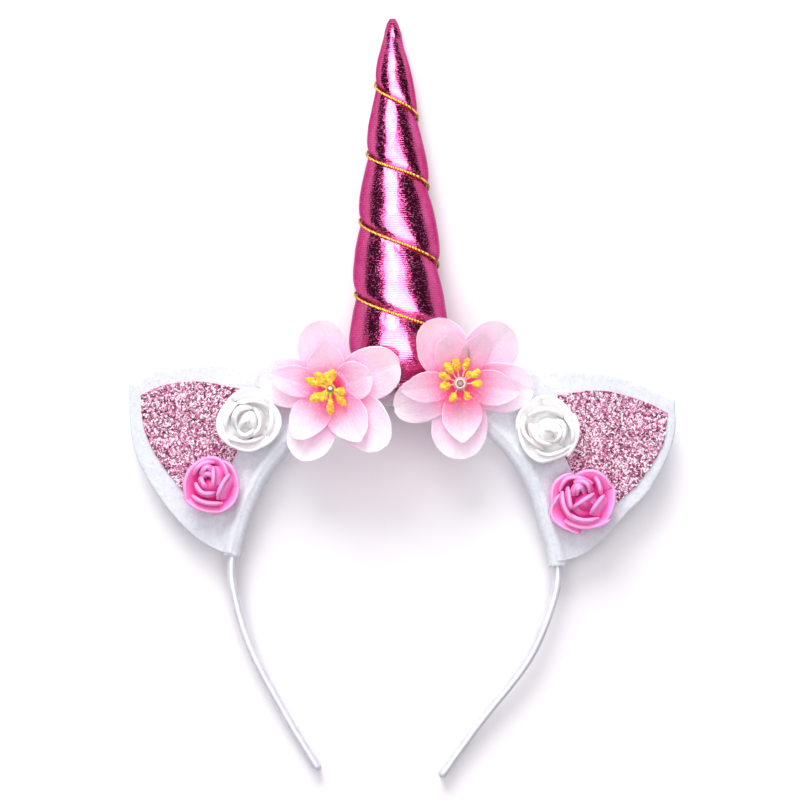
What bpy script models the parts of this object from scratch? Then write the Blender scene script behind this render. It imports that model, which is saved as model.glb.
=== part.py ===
"""Unicorn horn headband, lying on its back as it rests on a table.

Metres, +Z up. Seen from above, the horn points to +Y and the band's two ends to -Y.
Left and right are as seen from the front. Table rows are shares of the named sizes.
"""
import math

import bmesh
import bpy
from mathutils import Vector

# Sizes in metres
BAND_HALF_WIDTH = 0.0647     # crown to leg, across the band
BAND_LENGTH = 0.1519         # crown to leg end, along the table
BAND_THICK = 0.0036          # satin covered strip, seen from above
BAND_DEEP = 0.0070           # the strip's own width, front to back
CROWN_HEIGHT = 0.0172        # middle of the strip above the table at the crown
LEG_END_HEIGHT = 0.0035      # the same at the leg ends
FELT = 0.0015                # one layer of felt
EAR_PANEL = 0.0031           # two layers of felt glued together
GAP = 0.0003                 # left between pieces
EAR_OUT = 0.0630             # band's middle line to the ear's tip
GLITTER_THICK = 0.0010
HORN_LONG = 0.1471
HORN_RADIUS = 0.0198
HORN_GAP = 0.0043            # crown's middle line to the horn's sewn base
HORN_OFFSET = -0.0012        # the base's middle beside the crown's
HORN_LEAN = -0.0030          # how far the tip leans to -X
GROOVE_DEEP = 0.0008         # at the tip, and more with the radius
GROOVE_SHARE = 0.045
CORD_RADIUS = 0.0006
PETAL_THICK = 0.0011
FLOWER_RADIUS = 0.0300
FLOWER_LIFT = 0.0095         # petals' plane above the felt at the flower's middle
THROAT_RADIUS = 0.0070       # top of the flower's funnel
THROAT_FOOT = 0.0027         # bottom of the funnel
OUTER_CUP = 0.0050           # how far the outer petals' tips curve up
INNER_CUP = 0.0050           # the inner petals' further curve
PETAL_FOLD = 0.0006          # petal sides above their middle line
STALK_RADIUS = 0.00045
HEAD_RADIUS = 0.0011         # pollen head
STAMEN_RING_WIDE = 0.0010
STAMEN_RING_TALL = 0.0009
STEM_ABOVE_RING = 0.0026
STEM_CHAMFER = 0.0006
STEM_HOLE_DEEP = 0.0020
ROSE_HEIGHT = 0.0120
ROSE_WALL = 0.0014

# Counts
HORN_SIDES = 20
CORD_SIDES = 5
SPAN_STEPS = 3               # band stations in each fold of its path

# Band path from the crown: left out, left down, right out, right down
BAND_PATH = (
    (0.000, 0.000, 0.000, 0.000),
    (0.325, 0.017, 0.310, 0.018),
    (0.643, 0.089, 0.590, 0.098),
    (0.853, 0.188, 0.791, 0.214),
    (0.982, 0.303, 0.897, 0.348),
    (1.050, 0.416, 0.950, 0.442),
    (1.040, 0.511, 0.920, 0.540),
    (0.933, 0.664, 0.771, 0.690),
    (0.704, 0.849, 0.476, 0.854),
    (0.516, 0.981, 0.229, 1.000),
)

# Strip section, a rounded oblong: thickness share, depth share
STRIP_SECTION = (
    (0.50, 0.36), (0.36, 0.50), (-0.36, 0.50), (-0.50, 0.36),
    (-0.50, -0.36), (-0.36, -0.50), (0.36, -0.50), (0.50, -0.36),
)

# Felt outlines: fold of the band, distance out from it, corner; smooth from corner to corner
EAR_LEFT = (
    (4.97, 0.03, 1), (4.77, 0.22, 0), (4.32, 0.48, 0), (3.84, 0.71, 0), (3.28, 0.905, 0),
    (3.03, 1.00, 1), (2.69, 0.90, 0), (2.37, 0.73, 0), (1.87, 0.43, 0), (1.01, 0.05, 1),
)
EAR_RIGHT = (
    (4.87, 0.02, 1), (4.81, 0.15, 0), (4.55, 0.32, 0), (3.93, 0.60, 0), (3.52, 0.775, 0),
    (3.21, 0.93, 0), (2.96, 1.025, 1), (2.64, 0.89, 0), (2.29, 0.735, 0), (1.85, 0.48, 0),
    (1.44, 0.29, 0), (1.00, 0.07, 1),
)
GLITTER_LEFT = (
    (3.07, 0.90, 1), (2.81, 0.81, 0), (2.52, 0.655, 0), (2.23, 0.43, 1), (2.52, 0.29, 0),
    (3.13, 0.195, 0), (3.87, 0.27, 1), (4.00, 0.40, 1), (3.65, 0.61, 0), (3.37, 0.77, 0),
)
GLITTER_RIGHT = (
    (2.18, 0.435, 1), (2.46, 0.66, 0), (2.79, 0.835, 0), (3.03, 0.945, 1), (3.28, 0.82, 0),
    (3.62, 0.60, 0), (3.83, 0.445, 1), (3.62, 0.27, 1), (3.26, 0.25, 0), (2.68, 0.275, 0),
)
# Band folds that the felt wraps: each ear from one fold to another, the crown up to near the ears
EAR_FOLDS = (1.0, 5.0)
CROWN_FOLD = 0.92

# Horn: share along from the base, radius share, height of its middle as a radius share
HORN_ROWS = (
    (0.000, 0.690, 0.930), (0.032, 0.822, 0.960), (0.070, 0.941, 0.985), (0.110, 1.000, 1.000),
    (0.177, 0.976, 0.976), (0.285, 0.901, 0.901), (0.393, 0.846, 0.846), (0.502, 0.739, 0.739),
    (0.638, 0.599, 0.612), (0.775, 0.448, 0.472), (0.885, 0.319, 0.351), (0.941, 0.196, 0.233),
    (0.969, 0.136, 0.175), (0.986, 0.077, 0.119), (1.000, 0.032, 0.075),
)
# Where the cord crosses the horn's two side lines: half turn, share along from the base
CORD_TURNS = (
    (-1.5, 1.066), (-1.0, 1.010), (-0.5, 0.914), (0.0, 0.817), (0.5, 0.728), (1.0, 0.628),
    (1.5, 0.539), (2.0, 0.445), (2.5, 0.326), (3.0, 0.248), (3.5, 0.129), (4.0, 0.048),
    (4.5, -0.052), (5.0, -0.150), (5.5, -0.248),
)
CORD_FIRST_TURN = -0.45
CORD_LAST_TURN = 4.05
# One roll of the horn between two turns of cord: share of the turn, share of the groove
ROLL_ROWS = ((0.034, 1.00), (0.15, 0.60), (0.44, 0.16), (0.78, 0.00), (0.92, 0.22), (0.966, 1.00))
CORD_SEAT = 0.00092          # groove floor to the cord's middle

# Petals: direction in degrees, length share, half width share of the length
LEFT_OUTER = ((100, 0.90, 0.37), (171, 0.96, 0.35), (246, 1.02, 0.31), (314, 1.04, 0.33), (20, 0.96, 0.36))
LEFT_INNER = ((100, 0.60, 0.37), (167, 0.84, 0.23), (232, 0.80, 0.31), (301, 0.79, 0.33), (18, 0.54, 0.48))
RIGHT_OUTER = ((116, 0.91, 0.38), (48, 0.98, 0.36), (355, 0.98, 0.34), (270, 0.99, 0.38), (202, 0.92, 0.33))
RIGHT_INNER = ((105, 0.65, 0.33), (64, 0.73, 0.24), (352, 0.77, 0.29), (274, 0.75, 0.33), (187, 0.75, 0.25))
# Stamens: direction in degrees, reach share of the flower's radius, pollen head size
LEFT_STAMENS = (
    (160, 0.30, 1.0), (125, 0.21, 1.1), (82, 0.21, 1.2), (335, 0.15, 1.1),
    (208, 0.27, 1.2), (270, 0.32, 1.0), (310, 0.26, 0.9),
)
RIGHT_STAMENS = (
    (128, 0.30, 1.0), (104, 0.33, 1.1), (66, 0.33, 0.8), (35, 0.24, 1.0), (0, 0.29, 1.1),
    (305, 0.22, 0.8), (240, 0.24, 1.0), (195, 0.20, 1.1), (150, 0.25, 1.1),
)
# Flowers: fold of the band, distance out, slopes out and up, petals, stamens, stem radius, hollow
FLOWERS = (
    ("flower_left", -1.20, 0.127, 0.36, 0.06, LEFT_OUTER, LEFT_INNER, LEFT_STAMENS, 0.0014, False),
    ("flower_right", 0.97, 0.130, -0.28, 0.20, RIGHT_OUTER, RIGHT_INNER, RIGHT_STAMENS, 0.0022, True),
)
# Roses: name, fold of the band, distance out, radius, turn in degrees, colour
ROSES = (
    ("rose_white_left", -2.46, 0.260, 0.0122, 20, "white"),
    ("rose_pink_left", -3.71, 0.244, 0.0112, 75, "pink"),
    ("rose_white_right", 2.445, 0.242, 0.0124, 140, "white"),
    ("rose_pink_right", 3.64, 0.250, 0.0128, 200, "pink"),
)
# Rose layers: name, petals, foot radius, mid radius, rim radius, mid height, rim height
ROSE_LAYERS = (
    ("outer_petals", 5, 0.46, 0.86, 1.00, 0.30, 0.62),
    ("inner_petals", 4, 0.33, 0.60, 0.66, 0.45, 0.86),
)
# Colours: red, green, blue, roughness, metallic
COLOURS = {
    "satin_white": (0.90, 0.90, 0.92, 0.35, 0.0),
    "felt_white": (0.88, 0.89, 0.92, 0.95, 0.0),
    "glitter_pink": (0.72, 0.30, 0.45, 0.40, 0.3),
    "lame_pink": (0.62, 0.10, 0.33, 0.25, 0.9),
    "gold_cord": (0.80, 0.52, 0.12, 0.35, 0.8),
    "petal_pale": (0.93, 0.66, 0.78, 0.70, 0.0),
    "petal_pink": (0.95, 0.52, 0.66, 0.70, 0.0),
    "pollen_yellow": (0.95, 0.72, 0.05, 0.80, 0.0),
    "stem_cream": (0.80, 0.62, 0.52, 0.60, 0.0),
    "foam_white": (0.93, 0.92, 0.88, 0.75, 0.0),
    "foam_pink": (0.92, 0.22, 0.52, 0.75, 0.0),
}


def clear_scene():
    for thing in list(bpy.data.objects):
        bpy.data.objects.remove(thing, do_unlink=True)


def new_collection(name, hidden):
    group = bpy.data.collections.new(name)
    bpy.context.scene.collection.children.link(group)
    group.hide_render = hidden
    return group


def colour(name):
    if name in bpy.data.materials:
        return bpy.data.materials[name]
    red, green, blue, rough, metal = COLOURS[name]
    made = bpy.data.materials.new(name)
    made.use_nodes = True
    shader = made.node_tree.nodes["Principled BSDF"]
    shader.inputs["Base Color"].default_value = (red, green, blue, 1.0)
    shader.inputs["Roughness"].default_value = rough
    shader.inputs["Metallic"].default_value = metal
    made.diffuse_color = (red, green, blue, 1.0)
    return made


def add_object(name, group, work, finish, smooth=True):
    """Close up a bmesh, face it outwards and make it an object."""
    bmesh.ops.remove_doubles(work, verts=work.verts, dist=1e-6)
    bmesh.ops.recalc_face_normals(work, faces=work.faces)
    mesh = bpy.data.meshes.new(name)
    work.to_mesh(mesh)
    work.free()
    for face in mesh.polygons:
        face.use_smooth = smooth
    made = bpy.data.objects.new(name, mesh)
    mesh.materials.append(colour(finish))
    group.objects.link(made)
    return made


def combine(target, other, operation):
    cut = target.modifiers.new(operation.lower(), "BOOLEAN")
    cut.operation = operation
    cut.solver = "EXACT"
    cut.object = other
    other.display_type = "WIRE"
    other.hide_render = True


def blend(table, along, value=1, key=0):
    """Smooth value of a table column at a place in its key column, carried on past the ends."""
    rows = list(table)
    low = 0
    while low < len(rows) - 2 and (rows[low + 1][key] - along) * (rows[-1][key] - rows[0][key]) < 0:
        low += 1
    before, start, end, after = (rows[min(max(low + step, 0), len(rows) - 1)] for step in (-1, 0, 1, 2))
    width = end[key] - start[key]
    part = (along - start[key]) / width
    slope = (end[value] - start[value]) / width

    def tangent(first, last):
        run = last[key] - first[key]
        return (last[value] - first[value]) / run if run else slope

    if part < 0.0 or part > 1.0:
        return start[value] + (along - start[key]) * slope
    leave = tangent(before, end) * width
    arrive = tangent(start, after) * width
    square = part * part
    cube = square * part
    return (
        start[value] * (2 * cube - 3 * square + 1)
        + leave * (cube - 2 * square + part)
        + end[value] * (3 * square - 2 * cube)
        + arrive * (cube - square)
    )


def plane_height(up):
    """Height of the headband's own plane, which slopes down to the leg ends."""
    return CROWN_HEIGHT + up * (CROWN_HEIGHT - LEG_END_HEIGHT) / BAND_LENGTH


# Band and felt

def band_point(fold):
    """A point of the band's middle line: fold is negative on the left, zero at the crown."""
    points = []
    for step in (-1, 0, 1, 2):
        row = min(max(math.floor(fold) + step, 1 - len(BAND_PATH)), len(BAND_PATH) - 1)
        out_left, down_left, out_right, down_right = BAND_PATH[abs(row)]
        across = -out_left if row < 0 else out_right
        down = down_left if row < 0 else down_right
        points.append(Vector((across * BAND_HALF_WIDTH, -down * BAND_LENGTH, 0.0)))
    part = fold - math.floor(fold)
    before, start, end, after = points
    curve = (
        2 * start
        + (end - before) * part
        + (2 * before - 5 * start + 4 * end - after) * part ** 2
        + (3 * start - before - 3 * end + after) * part ** 3
    )
    point = curve * 0.5
    point.z = plane_height(point.y)
    return point


def band_frame(fold):
    """Middle and outward direction at a fold, straight between the band's stations."""
    last = len(BAND_PATH) - 1

    def station(index):
        place = index / SPAN_STEPS
        here = band_point(min(max(place, -last), last))
        ahead = band_point(min(place + 0.05, last))
        behind = band_point(max(place - 0.05, -last))
        along = (ahead - behind).normalized()
        return here, Vector((-along.y, along.x, 0.0)).normalized(), along

    index = math.floor(fold * SPAN_STEPS + 1e-6)
    part = fold * SPAN_STEPS - index
    here, out, along = station(index)
    if part > 1e-6:
        there, out_there, along_there = station(index + 1)
        here = here.lerp(there, part)
        out = out.lerp(out_there, part)
        along = along.lerp(along_there, part)
    return here, out, along


def sweep_band(name, group, finish, first, last, grow, overrun=0.0):
    """A closed bar along the band path, its section the strip's grown by a margin."""
    folds = [first, last]
    folds += [i / SPAN_STEPS for i in range(-60, 60) if first < i / SPAN_STEPS < last]
    work = bmesh.new()
    rings = []
    for number, fold in enumerate(sorted(folds)):
        here, out, along = band_frame(fold)
        up = along.cross(out) * -1.0
        up = up if up.z > 0.0 else -up
        if number == 0:
            here = here - along * overrun
        if number == len(folds) - 1:
            here = here + along * overrun
        ring = []
        for thick, deep in STRIP_SECTION:
            side = out * thick * (BAND_THICK + 2 * grow)
            rise = up * deep * (BAND_DEEP + 2 * grow)
            ring.append(work.verts.new(here + side + rise))
        rings.append(ring)
    close_rings(work, rings)
    return add_object(name, group, work, finish)


def close_rings(work, rings):
    """Skin a row of equal rings and cap both ends."""
    count = len(rings[0])
    for lower, upper in zip(rings, rings[1:]):
        for side in range(count):
            after = (side + 1) % count
            work.faces.new((lower[side], lower[after], upper[after], upper[side]))
    work.faces.new(rings[0])
    work.faces.new(rings[-1])


def sheet(name, group, finish, outline, under, thick):
    """A flat cut sheet: outline points, height of its underside over the band's plane."""
    work = bmesh.new()
    low = []
    high = []
    for across, up in outline:
        base = plane_height(up) + under
        low.append(work.verts.new((across, up, base)))
        high.append(work.verts.new((across, up, base + thick)))
    count = len(low)
    for side in range(count):
        after = (side + 1) % count
        work.faces.new((low[side], low[after], high[after], high[side]))
    work.faces.new(low)
    work.faces.new(high)
    return add_object(name, group, work, finish, smooth=False)


def off_band(fold, share):
    """A point of the headband's plane beside the band, seen from above."""
    here, out, _ = band_frame(fold)
    return (here + out * share * EAR_OUT).to_2d()


def sized(outline, side, closed):
    """Outline in metres, with a point of a smooth curve between each two of its rows."""
    rows = [(off_band(side * fold, out), corner) for fold, out, corner in outline]
    count = len(rows)
    points = []
    for number in range(count if closed else count - 1):
        start, start_corner = rows[number]
        end, end_corner = rows[(number + 1) % count]
        leave = end - start if start_corner else (end - rows[number - 1][0]) / 2
        arrive = end - start if end_corner else (rows[(number + 2) % count][0] - start) / 2
        points.append(start)
        points.append((start + end) / 2 + (leave - arrive) / 8)
    if not closed:
        points.append(rows[-1][0])
    return [(point.x, point.y) for point in points]


def build_band(parts, cutters):
    last = len(BAND_PATH) - 1
    sweep_band("band", parts, "satin_white", -last, last, 0.0)
    crown = sweep_band("crown_felt", parts, "felt_white", -CROWN_FOLD, CROWN_FOLD, GAP + FELT)
    tunnel = sweep_band("crown_tunnel", cutters, "felt_white", -CROWN_FOLD, CROWN_FOLD, GAP, FELT)
    combine(crown, tunnel, "DIFFERENCE")


def build_ear(parts, cutters, side, outline, glitter):
    word = "left" if side < 0 else "right"
    first, last = sorted((side * EAR_FOLDS[0], side * EAR_FOLDS[1]))
    steps = round((last - first) * SPAN_STEPS)
    middle = [band_frame(first + i / SPAN_STEPS)[0] for i in range(steps + 1)]
    if side < 0:
        middle.reverse()
    points = sized(outline, side, False) + [(point.x, point.y) for point in middle]
    ear = sheet("ear_felt_" + word, parts, "felt_white", points, -EAR_PANEL / 2, EAR_PANEL)
    roll = sweep_band("ear_roll_" + word, cutters, "felt_white", first, last, GAP + FELT)
    tunnel = sweep_band("ear_tunnel_" + word, cutters, "felt_white", first, last, GAP, FELT)
    combine(ear, roll, "UNION")
    combine(ear, tunnel, "DIFFERENCE")
    under = EAR_PANEL / 2 + GAP
    sheet("glitter_" + word, parts, "glitter_pink", sized(glitter, side, True), under, GLITTER_THICK)


# Horn and its cord

def horn_middle(share):
    across = HORN_OFFSET + HORN_LEAN * share
    height = HORN_RADIUS * blend(HORN_ROWS, share, 2)
    return Vector((across, HORN_GAP + share * HORN_LONG, height))


def horn_radius(share, groove):
    full = HORN_RADIUS * blend(HORN_ROWS, share, 1)
    return full - groove * (GROOVE_DEEP + GROOVE_SHARE * full)


def horn_point(share, groove, turn, lift=0.0):
    """A point round the horn; turns count from the -X side over the top."""
    angle = math.pi - 2 * math.pi * turn
    radius = horn_radius(share, groove) + lift
    return horn_middle(share) + Vector((math.cos(angle), 0.0, math.sin(angle))) * radius


def build_horn(parts):
    """Rows of the skin follow the cord, so each roll and groove stays sharp."""
    work = bmesh.new()
    edge = 0.006
    first = math.floor(CORD_TURNS[0][0])
    last = math.floor(CORD_TURNS[-1][0])
    rows = []
    for turn in range(first, last):
        for place, groove in ROLL_ROWS:
            row = []
            for side in range(HORN_SIDES + 1):
                here = turn + side / HORN_SIDES
                share = (1 - place) * blend(CORD_TURNS, here) + place * blend(CORD_TURNS, here + 1)
                depth = groove
                if share < edge or share > 1 - edge:
                    share = 0.0 if share < edge else 1.0
                    depth = 0.0
                row.append(work.verts.new(horn_point(share, depth, here)))
            rows.append(row)
    for upper, lower in zip(rows, rows[1:]):
        for side in range(HORN_SIDES):
            work.faces.new((upper[side], upper[side + 1], lower[side + 1], lower[side]))
    for share in (0.0, 1.0):
        turns = [side / HORN_SIDES for side in range(HORN_SIDES)]
        work.faces.new([work.verts.new(horn_point(share, 0.0, turn)) for turn in turns])
    bmesh.ops.remove_doubles(work, verts=work.verts, dist=2e-5)
    return add_object("horn", parts, work, "lame_pink")


def build_cord(parts):
    work = bmesh.new()
    rings = []
    first = round(CORD_FIRST_TURN * HORN_SIDES)
    last = round(CORD_LAST_TURN * HORN_SIDES)
    for step in range(first, last + 1):
        turn = step / HORN_SIDES
        here, before, after = (
            horn_point(blend(CORD_TURNS, place), 1.0, place, CORD_SEAT)
            for place in (turn, turn - 0.02, turn + 0.02)
        )
        out = (here - horn_middle(blend(CORD_TURNS, turn))).normalized()
        beside = (after - before).cross(out).normalized()
        ring = []
        for side in range(CORD_SIDES):
            angle = 2 * math.pi * side / CORD_SIDES
            offset = out * math.cos(angle + math.pi) + beside * math.sin(angle + math.pi)
            ring.append(work.verts.new(here + offset * CORD_RADIUS))
        rings.append(ring)
    close_rings(work, rings)
    return add_object("horn_cord", parts, work, "gold_cord")


# Flowers

def petal_reach(petals, angle):
    """Distance from the flower's middle to the cloth edge, and how far off a petal's middle."""
    best = (THROAT_RADIUS * 1.3, 1.0)
    for direction, length, wide in petals:
        off = math.remainder(angle - math.radians(direction), 2 * math.pi)
        long = length * FLOWER_RADIUS
        half = 0.44 * long
        middle = 0.56 * long
        side = wide * long
        a = (math.cos(off) / half) ** 2 + (math.sin(off) / side) ** 2
        b = middle * math.cos(off) / half ** 2
        c = (middle / half) ** 2 - 1
        inside = b * b - a * c
        if inside > 0 and b > 0:
            reach = (b + math.sqrt(inside)) / a
            if reach > best[0]:
                best = (reach, min(abs(off) / math.radians(36), 1.0))
    return best


def funnel(radius):
    part = min(max((radius - THROAT_FOOT) / (THROAT_RADIUS - THROAT_FOOT), 0.0), 1.0)
    return part * part * (3 - 2 * part)


def petal_height(flower, x, y, cup):
    """Underside of the outer petals above the felt, or of a sheet further curved up."""
    radius = math.hypot(x, y)
    rise = FLOWER_LIFT + flower[3] * x + flower[4] * y
    return GAP + funnel(radius) * rise + cup * (radius / FLOWER_RADIUS) ** 2


def cloth_rise(flower, x, y, cup):
    """Thickness measured straight up, more where the cloth is steep."""
    radius = max(math.hypot(x, y), THROAT_FOOT / 10)
    step = FLOWER_RADIUS / 80
    ahead = 1 + step / radius
    slope = (petal_height(flower, x * ahead, y * ahead, cup) - petal_height(flower, x, y, cup)) / step
    return PETAL_THICK * min(math.hypot(1.0, slope), 2.2)


def inner_underside(flower, x, y):
    under = petal_height(flower, x, y, OUTER_CUP) + cloth_rise(flower, x, y, OUTER_CUP)
    return under + 2 * GAP + INNER_CUP * (math.hypot(x, y) / FLOWER_RADIUS) ** 2


def inner_top(flower, x, y):
    return inner_underside(flower, x, y) + cloth_rise(flower, x, y, OUTER_CUP + INNER_CUP)


def place_on_felt(flower, x, y, height):
    middle = off_band(flower[1], flower[2])
    up = middle.y + y
    return Vector((middle.x + x, up, plane_height(up) + EAR_PANEL / 2 + height))


def build_petals(parts, flower, layer, petals, finish):
    """One layer of five joined petals, a cloth funnel opening into a lobed dish."""
    inner = layer == "inner_petals"
    order = sorted(direction % 360 for direction, _, _ in petals)
    angles = []
    for place, start in enumerate(order):
        end = order[(place + 1) % len(order)] + (360 if place == len(order) - 1 else 0)
        angles += [math.radians(start + (end - start) * step / 8) for step in range(8)]
    work = bmesh.new()
    under_rings = []
    over_rings = []
    for ring in range(4):
        under = []
        over = []
        for angle in angles:
            reach, off = petal_reach(petals, angle)
            radius = (THROAT_FOOT, THROAT_RADIUS, 0.0, reach)[ring]
            if ring == 2:
                radius = (THROAT_RADIUS + reach) / 2
            x = radius * math.cos(angle)
            y = radius * math.sin(angle)
            fold = PETAL_FOLD * off * off * max(radius - THROAT_RADIUS, 0.0) / FLOWER_RADIUS * 2
            if inner:
                low = inner_underside(flower, x, y) + PETAL_FOLD + fold
                high = inner_top(flower, x, y) + PETAL_FOLD + fold
            else:
                low = petal_height(flower, x, y, OUTER_CUP) + fold
                high = low + cloth_rise(flower, x, y, OUTER_CUP)
            under.append(work.verts.new(place_on_felt(flower, x, y, low)))
            over.append(work.verts.new(place_on_felt(flower, x, y, high)))
        under_rings.append(under)
        over_rings.append(over)
    close_rings(work, under_rings + over_rings[::-1])
    return add_object(flower[0] + "_" + layer, parts, work, finish)


def lathe(work, place, profile, sides):
    """Turn a closed outline of radius and height pairs round a flower's middle."""
    rings = []
    for radius, height in profile:
        ring = []
        for side in range(sides):
            angle = 2 * math.pi * side / sides
            ring.append(work.verts.new(place(radius * math.cos(angle), radius * math.sin(angle), height)))
        rings.append(ring)
    return rings


def build_centre(parts, flower):
    """Stem in the funnel; the right flower's ends in a hollow ring."""
    radius = flower[8]
    foot = highest_inside(flower, THROAT_FOOT) + PETAL_FOLD + GAP
    top = ring_height(flower) + STEM_ABOVE_RING
    profile = [(radius, foot), (radius, top - STEM_CHAMFER), (radius * 0.8, top)]
    if flower[9]:
        profile += [(radius * 0.45, top), (radius * 0.40, top - STEM_HOLE_DEEP)]
    work = bmesh.new()
    close_rings(work, lathe(work, lambda x, y, z: place_on_felt(flower, x, y, z), profile, 12))
    return add_object(flower[0] + "_centre", parts, work, "stem_cream")


def highest_inside(flower, radius):
    """Highest point of the inner petals on a circle round the flower's middle."""
    angles = [math.pi * step / 12 for step in range(24)]
    return max(inner_top(flower, radius * math.cos(a), radius * math.sin(a)) for a in angles)


def ring_height(flower):
    """Where the stamens' ring sits, just inside the top of the funnel."""
    return highest_inside(flower, 0.85 * THROAT_RADIUS)


def build_stamens(parts, cutters, flower):
    name = flower[0] + "_stamens"
    low = ring_height(flower)
    inside = flower[8] + 1.4 * GAP
    outside = inside + STAMEN_RING_WIDE
    top = low + STAMEN_RING_TALL
    work = bmesh.new()
    profile = ((inside, low), (outside, low), (outside, top), (inside, top))
    rings = lathe(work, lambda x, y, z: place_on_felt(flower, x, y, z), profile, 16)
    for lower, upper in zip(rings, rings[1:] + rings[:1]):
        for side in range(16):
            after = (side + 1) % 16
            work.faces.new((lower[side], lower[after], upper[after], upper[side]))
    ring = add_object(name, parts, work, "pollen_yellow")
    for number, (direction, reach, size) in enumerate(flower[7]):
        angle = math.radians(direction)
        x = reach * FLOWER_RADIUS * math.cos(angle)
        y = reach * FLOWER_RADIUS * math.sin(angle)
        height = inner_top(flower, x, y) + PETAL_FOLD + size * HEAD_RADIUS + 2 * GAP
        height = max(height, top + GAP)
        head = place_on_felt(flower, x, y, height)
        start = (inside + outside) / 2
        foot = place_on_felt(flower, start * math.cos(angle), start * math.sin(angle), (low + top) / 2)
        combine(ring, add_stamen(cutters, "%s_%d" % (name, number), foot, head, size), "UNION")
    return ring


def add_stamen(cutters, name, foot, head, size):
    """A stalk that swells into a pollen head at its far end."""
    along = (head - foot).normalized()
    out = along.cross(Vector((0.0, 0.0, 1.0))).normalized()
    up = out.cross(along)
    length = (head - foot).length
    swell = size * HEAD_RADIUS
    stops = (
        (0.0, STALK_RADIUS), (length - 1.5 * swell, STALK_RADIUS), (length - 0.9 * swell, 0.85 * swell),
        (length + 0.3 * swell, swell), (length + swell, 0.5 * swell),
    )
    work = bmesh.new()
    rings = []
    for distance, radius in stops:
        ring = []
        for side in range(6):
            angle = math.pi * side / 3
            offset = out * math.cos(angle) + up * math.sin(angle)
            ring.append(work.verts.new(foot + along * distance + offset * radius))
        rings.append(ring)
    close_rings(work, rings)
    return add_object(name, cutters, work, "pollen_yellow")


# Roses

def rose_point(rose, radius, angle, height):
    middle = off_band(rose[1], rose[2])
    across = middle.x + radius * math.cos(angle)
    up = middle.y + radius * math.sin(angle)
    base = plane_height(up) + EAR_PANEL / 2 + 2 * GAP + GLITTER_THICK
    return Vector((across, up, base + height))


def build_rose_layer(parts, rose, number):
    """A ring of thick foam petals, each tucked behind the next, joined in a cup."""
    layer, petals, foot, middle, rim, middle_high, rim_high = ROSE_LAYERS[number]
    size = rose[3]
    start = math.radians(rose[4]) + number * 0.5
    base = number * (ROSE_WALL + GAP)
    steps = petals * 6
    stops = (
        (foot * size, base, 0.0),
        (middle * size, middle_high * ROSE_HEIGHT, 0.5),
        (rim * size, rim_high * ROSE_HEIGHT, 1.0),
        (rim * size - ROSE_WALL, rim_high * ROSE_HEIGHT + 0.3 * ROSE_WALL, 1.0),
        (middle * size - ROSE_WALL, middle_high * ROSE_HEIGHT + 0.6 * ROSE_WALL, 0.5),
        (foot * size - 0.6 * ROSE_WALL, base + ROSE_WALL, 0.0),
    )
    work = bmesh.new()
    rings = []
    for radius, height, free in stops:
        ring = []
        for step in range(steps):
            angle = start + 2 * math.pi * step / steps
            part = (step % 6) / 6
            arch = math.sin(math.pi * (part + 1 / 12))
            reach = radius - free * size * (0.10 * part + 0.05 * (1 - arch))
            drop = free * ROSE_HEIGHT * 0.07 * (1 - arch)
            ring.append(work.verts.new(rose_point(rose, reach, angle, height - drop)))
        rings.append(ring)
    close_rings(work, rings)
    return add_object("%s_%s" % (rose[0], layer), parts, work, "foam_" + rose[5])


def build_bud(parts, rose):
    """The furled heart, with a spiral step down its side."""
    base = 2 * (ROSE_WALL + GAP)
    tall = ROSE_HEIGHT - base
    work = bmesh.new()
    rings = []
    for share, wide in ((0.0, 0.16), (0.35, 0.33), (0.62, 0.36), (0.86, 0.30), (1.0, 0.17)):
        ring = []
        for step in range(14):
            angle = math.radians(rose[4]) + 2 * math.pi * step / 14
            curl = (2 * step / 14 + share) % 1.0
            reach = wide * rose[3] * (1 - 0.16 * curl)
            ring.append(work.verts.new(rose_point(rose, reach, angle, base + share * tall)))
        rings.append(ring)
    close_rings(work, rings)
    return add_object(rose[0] + "_bud", parts, work, "foam_" + rose[5])


def rest_on_origin(parts, cutters):
    """Shift all so that the object stands on the middle of its own footprint."""
    points = [vertex.co for thing in parts.objects for vertex in thing.data.vertices]
    low = Vector([min(point[axis] for point in points) for axis in range(3)])
    high = Vector([max(point[axis] for point in points) for axis in range(3)])
    shift = Vector((-(low.x + high.x) / 2, -(low.y + high.y) / 2, -low.z))
    for thing in list(parts.objects) + list(cutters.objects):
        for vertex in thing.data.vertices:
            vertex.co += shift


def main():
    clear_scene()
    parts = new_collection("unicorn_horn_headband", False)
    cutters = new_collection("cutters", True)
    build_band(parts, cutters)
    build_ear(parts, cutters, -1, EAR_LEFT, GLITTER_LEFT)
    build_ear(parts, cutters, 1, EAR_RIGHT, GLITTER_RIGHT)
    build_horn(parts)
    build_cord(parts)
    for flower in FLOWERS:
        build_petals(parts, flower, "outer_petals", flower[5], "petal_pale")
        build_petals(parts, flower, "inner_petals", flower[6], "petal_pink")
        build_centre(parts, flower)
        build_stamens(parts, cutters, flower)
    for rose in ROSES:
        for number in range(len(ROSE_LAYERS)):
            build_rose_layer(parts, rose, number)
        build_bud(parts, rose)
    rest_on_origin(parts, cutters)


main()
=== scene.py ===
"""Looks of the unicorn horn headband: cloth, felt, foam, glitter and light.

Metres, +Z up, lying on its back. Sizes that say "from the crown" start at the middle of the
band where the horn stands. Left and right are as seen from the front.
"""
import math

import bmesh
import bpy
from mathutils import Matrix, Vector, noise


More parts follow.
